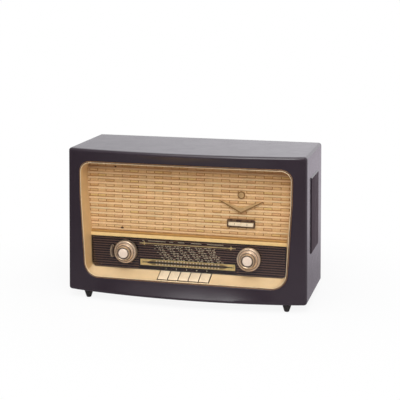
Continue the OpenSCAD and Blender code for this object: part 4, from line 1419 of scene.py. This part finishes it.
@dataclass
class Dial:
    """The dial: its glass, the print behind it, the gold scale strip and the pointer.

    The print stands out from its ground by ink, and each further coat of it by one layer more. dash_left
    and dash_right are where the top row ends, and how much further right each lower row ends.
    """

    half: float = 206.8
    low: float = 48.2
    high: float = 114.4
    corner: float = 12.0
    glass_front: float = 5.2
    glass_back: float = 8.15
    print_front: float = 8.35
    print_back: float = 8.75
    ink: float = 0.08
    layer: float = 0.02
    hole_r: float = 7.0
    line_pitch: float = 5.08
    line_wide: float = 1.4
    split_x: float = 104.0
    split_z: float = 73.0
    gold_half: float = 102.0
    gold_z: Flat = (103.1, 104.4)
    gold_mark_x: float = 92.0
    heads: tuple[Flat, ...] = ((-96, -92), (-84, -46), (-38, -30), (-20, -6), (8, 30), (42, 76))
    head_z: Flat = (108.7, 109.5)
    key_number_z: float = 52.3
    dash_rows: int = 9
    dash_top: float = 100.1
    dash_pitch: float = 3.5
    dash_left: Flat = (-76.6, 2.9)
    dash_right: Flat = (61.7, 2.0)
    group_start: float = -90.0
    group_pitch: float = 21.0
    group_slant: float = 3.4
    group_long: float = 13.5
    strip_half: float = 101.0
    strip_z: Flat = (56.9, 70.1)
    slot_z: Flat = (62.6, 64.4)
    slot_half: float = 95.0
    bed: tuple[float, float, float, float] = (86.0, 74.0, 1.0, 5.4)
    field: tuple[float, float, float, float] = (90.0, 78.0, 0.9, 2.0)
    strip_numbers: tuple[tuple[str, float], ...] = (("0", -96.0), ("10", 95.5))
    dot_pitch: float = 6.6
    dot_out: float = 3.5

    def build(self) -> None:
        """Builds the dial from the front to the back."""
        self.glass()
        self.mask()
        self.prints()
        self.strip()
        self.pointer()

    def plate(self, front: float, back: float, inset: float) -> Shape:
        """Makes a plate of the dial's outline, with holes for the two shafts.

        Args:
            front: the y of its front.
            back: the y of its back.
            inset: how far its outline is drawn in.

        Returns:
            The plate.
        """
        r = self.corner
        x, low, high = self.half - inset, self.low + inset, self.high - inset
        outline = [(-x, high), (x, high), *arc((x - r, low + r), r, 0, -90, 9),
                   *arc((r - x, low + r), r, -90, -180, 9)]
        bm = prism(outline, front, back)
        for side in SIDES:
            drill = [(0, front - 1), (self.hole_r, front - 1), (self.hole_r, back + 1), (0, back + 1)]
            bm = cut(bm, lathe(drill, (side * KNOB_X, KNOB_Z), 40))
        return bm

    def slot(self, front: float) -> Shape:
        """Returns what is cut out for the strip's slot, behind a front."""
        return block((-self.slot_half, front - 1, self.slot_z[0]),
                     (self.slot_half, self.print_back + 1, self.slot_z[1]))

    def glass(self) -> None:
        """Builds the glass, with ground edges."""
        bm = self.plate(self.glass_front, self.glass_back, 0)
        settle(bm, "dial_pane", "cabinet", [DIAL_GLASS], ["dial_glass"])

    def mask(self) -> None:
        """Builds the dark ground of the print, with the opening of the strip's slot."""
        bm = cut(self.plate(self.print_front, self.print_back, 0.6), self.slot(self.print_front))
        settle(bm, "dial_ground", "cabinet", [MASK], ["dial_mask"])

    def print_on(self, parts: Sequence[Shape], name: str, finish: Finish) -> None:
        """Prints marks on the dial's ground."""
        settle(join(parts), name, "cabinet", [finish])

    def prints(self) -> None:
        """Builds the thin lines, the slanted rows of dashes and the gold line over them."""
        front, back = self.print_front - self.ink, self.print_front
        second, third, fourth = (front - self.layer * count for count in (1, 2, 3))
        self.print_on(self.lines(front, back), "dial_lines", MASK_LINE)
        self.print_on(self.dashes(second, back), "dial_dashes", DIAL_PALE)
        low, high = self.gold_z
        gold = [block((-self.gold_half, third, low), (self.gold_half, back, high))]
        for x in (-self.gold_mark_x, self.gold_mark_x):
            gold.append(block((x - 4, fourth, low - 0.4), (x + 4, back, high + 0.4)))
            gold.append(block((x - 1, fourth, low - 3.1), (x + 1, back, high + 3.1)))
        self.print_on(gold, "dial_gold_lines", DIAL_GOLD)
        low, high = self.head_z
        marks = [block((a, second, low), (b, back, high)) for a, b in self.heads]
        self.print_on(marks, "dial_head_marks", DIAL_PALE)
        numbers = [numeral(str(n), 3.4, (KEY_X + (n - 3) * KEY_PITCH, self.key_number_z), front, self.ink)
                   for n in range(1, 6)]
        self.print_on(numbers, "key_numbers", DIAL_PALE)

    def lines(self, front: float, back: float) -> list[Shape]:
        """Makes the thin lines across the dial, which leave room for the strip in the middle.

        Args:
            front: the y of their front.
            back: the y of their back.

        Returns:
            The lines.
        """
        made = []
        end, half = self.half - 3, self.line_wide / 2
        z = self.low + 1.6
        while z < self.high - 2:
            spans = [(-end, -self.split_x), (self.split_x, end)] if z < self.split_z else [(-end, end)]
            made += [block((x0, front, z - half), (x1, back, z + half)) for x0, x1 in spans]
            z += self.line_pitch
        return made

    def dashes(self, front: float, back: float) -> list[Shape]:
        """Makes the slanted groups of short dashes in the middle of the dial.

        Args:
            front: the y of their front.
            back: the y of their back.

        Returns:
            The dashes.
        """
        chance = random.Random(11)
        made = []
        for row in range(self.dash_rows):
            z = self.dash_top - row * self.dash_pitch
            left, right = (edge + slant * row for edge, slant in (self.dash_left, self.dash_right))
            for group in range(-1, 8):
                start = self.group_start + self.group_pitch * group + self.group_slant * row
                x = start + chance.uniform(-1.0, 1.5)
                while x < start + self.group_long:
                    length = chance.uniform(2.0, 6.0)
                    if x > left and x + length < right:
                        made.append(block((x, front, z - 0.5), (x + length, back, z + 0.5)))
                    x += length + chance.uniform(1.4, 3.2)
        return made

    def bars(self, size: tuple[float, float, float, float], front: float, back: float) -> list[Shape]:
        """Makes a bar with slanted ends on each side of the strip's slot.

        Args:
            size: half its length at its edge beside the slot and at its other edge, then how far these
                two edges lie from the middle of the slot.
            front: the y of the bars' front.
            back: the y of their back.

        Returns:
            The two bars.
        """
        near_half, far_half, near, far = size
        middle = sum(self.slot_z) / 2
        return [prism([(-near_half, middle + side * near), (-far_half, middle + side * far),
                       (far_half, middle + side * far), (near_half, middle + side * near)], front, back)
                for side in SIDES]

    def strip(self) -> None:
        """Builds the gold strip with its slot, its dark field, its dots and its plain numbers."""
        front = self.print_front - 0.1
        bm = prism(rounded(-self.strip_half, self.strip_half, *self.strip_z, 1.0), front, self.print_front)
        settle(cut(bm, self.slot(front)), "scale_plate", "cabinet", [DIAL_GOLD],
               ["scale_strip"])
        second, third, fourth = (front - self.layer * count for count in (1, 2, 3))
        middle = sum(self.slot_z) / 2
        beds = self.bars(self.bed, second, front)
        fields = self.bars(self.field, third, front)
        for text, x in self.strip_numbers:
            fields.append(numeral(text, 4.4, (x, middle), third, front - third))
        dots = []
        for index in range(-10, 11):
            for side in SIDES:
                x, z = index * self.dot_pitch, middle + side * self.dot_out
                outline = rounded(x - 1.7, x + 1.7, z - 1.15, z + 1.15, 0.9, 3)
                dots.append(prism(outline, fourth, front))
        for name, parts, finish in (("scale_beds", beds, SCALE_OLIVE), ("scale_field", fields, SCALE_BROWN),
                                    ("scale_dots", dots, DIAL_PALE)):
            settle(join(parts), name, "cabinet", [finish])

    def pointer(self) -> None:
        """Builds the pointer: a painted needle on its sliding block."""
        needle = block((-0.5, 9.4, 54.9), (0.5, 10.4, 106.6), 0.2, 1)
        rider = block((-6, 8.95, 105.6), (6, 11.4, 111.6), 0.6, 2)
        settle(join([needle, rider]), "pointer_needle", "pointer", [POINTER_RED],
               ["pointer"])


@dataclass
class Knob:
    """A knob: its fluted flange, its bright collar and its ivory cap.

    Radii are from the axis, but those of outer_groove are from the rim.
    """

    name: str
    side: int
    radius: float
    back: float
    flutes: int = 72
    flute_depth: float = 0.35
    ring_r: float = 12.5
    inner_groove: Flat = (15.0, 16.3)
    outer_groove: Flat = (-4.6, -3.6)

    def build(self) -> None:
        """Builds the flange, the collar and the cap."""
        centre = (self.side * KNOB_X, KNOB_Z)
        f = KNOB_FRONT
        collar = lathe([(10.8, f + 5.9), (10.8, f + 2.2), (11.6, f + 1.9), (12.6, f + 1.0), (13.1, f + 0.7),
                        (14.0, f + 1.0), (14.6, f + 2.0), (14.6, f + 5.9)], centre)
        # The collar's inner part round the cap takes the dark finish: painted shade in the gap.
        paint(collar, lambda middle: int(math.dist((middle.x, middle.z), centre) < self.ring_r))
        cap = lathe([(0, f), (4.0, f + 0.05), (7.8, f + 0.3), (9.3, f + 0.7), (9.9, f + 1.4), (10.1, f + 2.4),
                     (10.1, f + 5.9)], centre)
        for bm, end, slot, finishes, node in (
                (self.flange(centre), "_flange", "knob_plastic", [KNOB, KNOB_GROOVE_SHADE], ""),
                (collar, "_ring", "collar_metal", [COLLAR, KNOB_GROOVE_SHADE], "_collar"),
                (cap, "_button", "cap_ivory", [CAP], "_cap")):
            settle(bm, self.name + end, self.name, finishes, [self.name + node])

    def flange(self, centre: Flat) -> Shape:
        """Makes the flange, with fine flutes round its rim.

        Args:
            centre: the knob's axis, in x and z.

        Returns:
            The mesh, with the grooves as its second material, darkened as painted shade.
        """
        f, r = KNOB_FRONT, self.radius
        profile = [(0, f + 5.9), (14.9, f + 5.9), (15.2, f + 6.6), (15.4, f + 8.0), (16.2, f + 8.3),
                   (17.0, f + 9.0), (r - 5.2, f + 12.0), (r - 4.4, f + 12.9), (r - 4.0, f + 13.2),
                   (r - 3.4, f + 12.9), (r - 1.6, f + 13.2), (r - 0.5, f + 13.7), (r, f + 14.6),
                   (r, self.back - 0.8), (r - 0.8, self.back), (0, self.back)]
        bm = lathe(profile, centre, self.flutes * 2)
        for vert in bm.verts:
            off = Vector((vert.co.x - centre[0], vert.co.z - centre[1]))
            step = round(math.atan2(off.y, off.x) / (math.pi / self.flutes))
            if off.length > r - 0.9 and step % 2:
                vert.co.x -= off.x / off.length * self.flute_depth
                vert.co.z -= off.y / off.length * self.flute_depth
        return paint(bm, lambda middle: self.in_groove(math.dist((middle.x, middle.z), centre)))

    def in_groove(self, reach: float) -> int:
        """Returns 1 where a distance from the axis lies in one of the two grooves, and 0 elsewhere."""
        grooves = (self.inner_groove, [self.radius + r for r in self.outer_groove])
        return int(any(low < reach < high for low, high in grooves))


@dataclass
class ToneRing:
    """The ring behind the left knob, with its finger tab and a bright strip on the tab that is a painted
    highlight.
    """

    hole_r: float = 5.2
    radius: float = 25.0
    tab_r: float = 33.0
    front: float = 0.3
    back: float = 3.9
    tab_front: float = -4.6
    spread: float = 24.0
    # Where the thin bright strip on the tab lies: a painted highlight.
    line_rs: Flat = (31.6, 29.9)
    line_front: float = -4.7
    line_back: float = -4.2
    line_short: float = 3.0

    def sector(self, outer_r: float, inner_r: float, spread: float, count: int) -> list[Flat]:
        """Returns the outline of a curved bar on the ring's left side.

        Args:
            outer_r: its outer radius.
            inner_r: its inner radius.
            spread: how far it reaches to either side, in degrees.
            count: how many points each arc has.

        Returns:
            The outline.
        """
        centre = (-KNOB_X, KNOB_Z)
        return [*arc(centre, outer_r, 180 - spread, 180 + spread, count),
                *arc(centre, inner_r, 180 + spread, 180 - spread, count)]

    def build(self) -> None:
        """Builds the ring, its tab and the painted highlight on the tab."""
        hole, r, front, back = self.hole_r, self.radius, self.front, self.back
        profile = [(hole, front), (r - 0.6, front), (r, front + 0.6), (r, back), (hole, back), (hole, front)]
        ring = lathe(profile, (-KNOB_X, KNOB_Z), 72)
        tab = prism(self.sector(self.tab_r, r + 0.9, self.spread, 17), self.tab_front, back)
        # A thin bright strip proud of the tab's front: painted highlight.
        bar = self.sector(*self.line_rs, self.spread - self.line_short, 11)
        line = prism(bar, self.line_front, self.line_back)
        bm = join([ring, tint(soften(tab, 0.8, 2), 1), tint(line, 2)])
        settle(bm, "tone_lever", "tone_ring", [RING_BROWN, TAB_BROWN, COLLAR], ["tone_ring"])


@dataclass
class WaveKeys:
    """The five ivory keys in the sill, whose tops slope down to the front."""

    width: float = 20.0
    count: int = 5
    front: float = -21.4
    face_back: float = 4.0
    low: float = 30.2
    top_at: Flat = (-27.0, 36.9)
    slope: float = 0.3789
    ivory: float = 2.4
    arm_half: float = 5.0
    hub_r: float = 5.0
    hub_half: float = 10.0
    shaft_r: float = 2.25
    pivot: Flat = (36.0, 30.0)

    def top(self, y: float) -> float:
        """Returns the height of a key's top at a depth."""
        return self.top_at[1] + (y - self.top_at[0]) * self.slope

    def build(self) -> None:
        """Builds each key: a rounded face with a shallow dish, and the tail that it tips on."""
        for number in range(1, self.count + 1):
            middle = KEY_X + (number - (self.count + 1) / 2) * KEY_PITCH
            name = f"wave_key_{number}"
            bm = paint(join([self.face(middle), self.tail(middle)]), self.is_stem)
            settle(bm, name + "_cap", name, [IVORY, BAKELITE], [name])

    def is_stem(self, middle: Vector) -> int:
        """Returns 1 where a face belongs to a key's dark stem, and 0 on its ivory cap."""
        return int(middle.z < self.top(middle.y) - self.ivory)

    def face(self, middle: float) -> Shape:
        """Makes the part of a key that shows.

        Args:
            middle: the x of the key's middle.

        Returns:
            The mesh.
        """
        half, front, back = self.width / 2, self.front, self.face_back
        profile = [(front, self.low), (front, self.top(front) - 2.2),
                   (front + 0.6, self.top(front + 0.6) - 0.7), (front + 2.2, self.top(front + 2.2)),
                   (-8.0, self.top(-8.0) - 0.35), (back, self.top(back)), (back, self.low)]
        return soften(beam(profile, middle - half, middle + half), 0.7, 3, 25)

    def tail(self, middle: float) -> Shape:
        """Makes the tail of a key, with its hub round the shaft.

        Args:
            middle: the x of the key's middle.

        Returns:
            The mesh.
        """
        y, z = self.pivot
        start = self.face_back - 1
        arm = beam([(start, 42.9), (18.0, 41.9), (y, z + 4), (y, z - 4), (start, 31.0)],
                   middle - self.arm_half, middle + self.arm_half)
        hole, r, end = self.shaft_r, self.hub_r, self.hub_half
        hub = lathe([(hole, -end), (r, -end), (r, end), (hole, end), (hole, -end)], (0, 0), 32)
        turn = Matrix.Translation((middle, y, z)) @ Matrix.Rotation(math.pi / 2, 4, "Z")
        bmesh.ops.transform(hub, matrix=turn, verts=hub.verts)
        return join([arm, hub])


@dataclass
class ToneSwitch:
    """The tone switch in the cloth: its frame and its two rocking keys."""

    half: float = 29.0
    low: float = 147.6
    high: float = 164.6
    front: float = 8.0
    well: tuple[float, float, float, float] = (85.4, 138.2, 150.7, 159.6)
    key_z: Flat = (151.4, 158.8)
    keys: tuple[tuple[str, str, Flat, float], ...] = (("tone_key_left", "1", (86.1, 111.5), 7.4),
                                                      ("tone_key_right", "2", (112.1, 137.5), 4.9))

    def build(self) -> None:
        """Builds the frame and the keys, each with a plain number."""
        outer = rounded(SWITCH_X - self.half, SWITCH_X + self.half, self.low, self.high, 2.2)
        bm = soften(prism(outer, self.front, CLOTH_Y + 0.6), 0.8, 2)
        bm = cut(bm, prism(rounded(*self.well, 1.0), self.front - 1, CLOTH_Y + 2))
        settle(bm, "switch_surround", "cabinet", [SWITCH_BRONZE], ["switch_frame"])
        low, high = self.key_z
        for name, text, (left, right), front in self.keys:
            key = block((left, front + 0.06, low), (right, front + 20, high), 0.7, 3)
            mark = numeral(text, 4.2, ((left + right) / 2, (low + high) / 2), front, 0.06)
            settle(join([key, tint(mark, 1)]), name + "_cap", name, [IVORY, SCALE_BROWN], [name])


@dataclass
class Ornament:
    """The chevron over the tone switch, and the plain stud above it."""

    apex: float = 176.9
    half: float = 46.3
    height: float = 26.0
    end: float = 4.0
    web: float = 12.0
    # Width of the strip of painted shade along the chevron's lower edges.
    shade: float = 3.6
    stud: Flat = (SWITCH_X, 214.9)
    stud_r: float = 5.4

    def vee(self, end: float, web: float) -> list[Flat]:
        """Returns the outline of a chevron.

        Args:
            end: how wide its arms end.
            web: how tall it is at its middle.

        Returns:
            The outline.
        """
        x, z, top = SWITCH_X, self.apex, self.apex + self.height
        return [(x, z), (x + self.half, top), (x + self.half - end, top), (x, z + web),
                (x - self.half + end, top), (x - self.half, top)]

    def build(self) -> None:
        """Builds the chevron with painted shade along its lower edges, and the stud with its dark outer ring.
        """
        finishes = [ORNAMENT, ORNAMENT_SHADE_AND_RING]
        bar = soften(prism(self.vee(self.end, self.web), 8.3, CLOTH_Y + 0.6), 0.5, 2, 20)
        # A thin dark strip along the chevron's lower edges, just proud of its face: painted shade.
        shade = tint(prism(self.vee(self.shade, self.shade), 8.0, 8.9), 1)
        settle(join([bar, shade]), "gold_chevron", "cabinet", finishes, ["chevron"])
        stud = lathe([(0, 8.0), (3.5, 8.1), (5.2, 8.5), (5.6, 9.2), (6.0, 9.2), (6.4, 8.7), (7.1, 8.7),
                      (7.5, 9.3), (7.5, CLOTH_Y + 0.6), (0, CLOTH_Y + 0.6)], self.stud, 48)
        paint(stud, lambda middle: int(math.dist((middle.x, middle.z), self.stud) > self.stud_r))
        settle(stud, "round_stud", "cabinet", finishes, ["plain_stud"])


CARRIED: dict[str, Finish] = {
    "baffle_board": BOARD, "dial_backplate": DARK_PAINT, "dial_lamps": LAMP, "tone_switch": BAKELITE,
    "valve_sockets": BAKELITE, "socket_plate": BAKELITE, "volume_shaft": STEEL, "tone_shaft": STEEL,
    "tuning_shaft": STEEL, "key_shaft": STEEL, "tuning_bush": BRASS, "volume_control": ALUMINIUM,
    "tuning_drum": DRUM, "capacitor_rotor": ALUMINIUM, "capacitor_frame": STEEL,
    "capacitor_stator": ALUMINIUM, "key_frame": STEEL, "speaker_frame": STEEL, "speaker_cone": CONE,
    "speaker_magnet": IRON, "chassis": CHASSIS, "valves": VALVE_GLASS, "mains_core": IRON,
    "output_transformer": IRON, "mains_winding": PAPER, "screening_cans": ALUMINIUM,
    "aerial_rod": FERRITE, "aerial_brackets": BROWN_BOARD, "cord_grommet": RUBBER, "back_cover": FIBRE,
    "cover_screws": STEEL, "baffle_screws": STEEL, "chassis_screws": STEEL}


def dress_carried() -> None:
    """Gives the CAD nodes that keep their shape their finishes."""
    for name, finish in CARRIED.items():
        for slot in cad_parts[name].material_slots:
            slot.material = finish.material()
        LOG.info("%s carried over", name)


def facing(place: Point, target: Point) -> Matrix:
    """Returns the matrix of a camera or lamp that stands at place and looks at target."""
    look = (Vector(target) - Vector(place)).to_track_quat("-Z", "Y").to_matrix().to_4x4()
    return Matrix.Translation(place) @ look


@dataclass
class Studio:
    """The camera, the lamps, the room's soft light and the pale floor."""

    eye: Point = (0.5710, -2.2291, 0.6796)
    target: Point = (0.02866, -0.07048, 0.21919)
    lens: float = 101.106
    sensor: float = 36.0
    roll: float = math.radians(0.104)
    lamp_target: Point = (0, 0, 0.15)
    softboxes: tuple[tuple[str, Point, float, float], ...] = (
        ("key_softbox", (0.5, -2.1, 2.3), 1.5, 41.0), ("top_softbox", (0.1, -0.9, 2.4), 2.0, 28.0),
        ("side_softbox", (2.4, -0.6, 1.2), 1.4, 4.0))
    room_light: float = 0.32
    floor_r: float = 8.0

    def build(self) -> None:
        """Builds the studio."""
        self.camera()
        self.world()
        for softbox in self.softboxes:
            self.lamp(*softbox)
        self.floor()
        bpy.context.scene.view_settings.view_transform = "Standard"

    def camera(self) -> None:
        """Places the camera at the photograph's viewing angle."""
        data = bpy.data.cameras.new("camera")
        data.lens = self.lens
        data.sensor_width = self.sensor
        view = in_scene("camera", data)
        view.matrix_world = facing(self.eye, self.target) @ Matrix.Rotation(self.roll, 4, "Z")
        bpy.context.scene.camera = view

    def lamp(self, name: str, place: Point, size: float, power: float) -> None:
        """Hangs a square softbox that faces the radio.

        Args:
            name: its name.
            place: where it hangs.
            size: its side.
            power: its power, in watts.
        """
        data = bpy.data.lights.new(name, "AREA")
        data.size = size
        data.energy = power
        in_scene(name, data).matrix_world = facing(place, self.lamp_target)

    def world(self) -> None:
        """Fills the room with soft light: a white backdrop behind the radio, and less light in front."""
        world = bpy.data.worlds.new("room")
        world.use_nodes = True
        tree = Tree(world.node_tree)
        path = tree.add("ShaderNodeLightPath").outputs
        way = tree.axes(tree.add("ShaderNodeTexCoord").outputs["Generated"])
        front = tree.ease(way["Z"], 0.15, 0.6, 0.12, 0.6)
        mirrored = tree.math("MULTIPLY", tree.ease(way["Y"], -0.1, 0.6, front, 1.0),
                             tree.ease(way["X"], -0.4, -0.1, 0.88, 1.2))
        seen = tree.math("MAXIMUM", path["Is Camera Ray"], path["Is Transmission Ray"])
        strength = tree.ease(path["Is Glossy Ray"], 0.0, 1.0, self.room_light, mirrored)
        strength = tree.ease(seen, 0.0, 1.0, strength, 1.0)
        color = tree.mix(seen, (0.97, 0.955, 1.0, 1.0), (1.0, 1.0, 1.0, 1.0))
        room = tree.add("ShaderNodeBackground", {"Color": color, "Strength": strength})
        tree.add("ShaderNodeOutputWorld", {"Surface": room.outputs[0]})
        bpy.context.scene.world = world

    def floor(self) -> None:
        """Lays the floor."""
        bm = bmesh.new()
        bmesh.ops.create_circle(bm, cap_ends=True, segments=96, radius=self.floor_r)
        mesh = into_mesh(bm, "floor")
        mesh.materials.append(self.floor_material())
        in_scene("floor", mesh)

    @staticmethod
    def floor_material() -> bpy.types.Material:
        """Makes the floor's material, which takes the radio's soft shadow and is white further out.

        Returns:
            The material. Reflections see it as a glow, brighter before and behind the radio.
        """
        material = bpy.data.materials.new("pale_floor")
        material.use_nodes = True
        tree = Tree(material.node_tree)
        shader = tree.add("ShaderNodeBsdfPrincipled", {"Base Color": (0.9, 0.9, 0.9, 1), "Roughness": 0.9,
                                                       "Specular IOR Level": 0.0})
        path = tree.add("ShaderNodeLightPath").outputs
        glossy = path["Is Glossy Ray"]
        spot = tree.axes(tree.place())
        mirrored = tree.math("ADD", tree.ease(spot["Y"], -1.0, -0.2, 0.08, 0.42),
                             tree.ease(spot["Y"], 0.15, 0.9, 0.05, 0.42))
        mirrored = tree.math("MULTIPLY", mirrored, tree.ease(spot["X"], -0.9, 0.5, 0.35, 1.12))
        strength = tree.ease(glossy, 0.0, 1.0, 1.0, mirrored)
        tone = tree.mix(glossy, (1, 1, 1, 1), (0.98, 0.9, 1.0, 1))
        glow = tree.add("ShaderNodeEmission", {"Color": tone, "Strength": strength})
        reach = tree.add("ShaderNodeVectorMath", {0: tree.place()}, operation="LENGTH").outputs["Value"]
        far = tree.ease(reach, 0.3, 0.7, 0.9, 1.0)
        seen = tree.math("MAXIMUM", path["Is Camera Ray"], path["Is Transmission Ray"])
        share = tree.math("MAXIMUM", tree.math("MULTIPLY", seen, far), glossy)
        mixed = tree.add("ShaderNodeMixShader", {"Fac": share, 1: shader.outputs[0], 2: glow.outputs[0]})
        tree.add("ShaderNodeOutputMaterial", {"Surface": mixed.outputs[0]})
        return material


def main() -> None:
    """Builds the studio and every piece of the radio."""
    logging.basicConfig(level=logging.INFO, format="%(message)s")
    knobs = (Knob("volume_knob", -1, 23.4, -0.3), Knob("tuning_knob", 1, 24.2, 4.0))
    for part in (Studio(), MouldedCase(), FrontBead(), Bezel(), GrilleCloth(), Dial(), *knobs, ToneRing(),
                 WaveKeys(), ToneSwitch(), Ornament()):
        part.build()
    dress_carried()


if __name__ == "__main__":
    main()
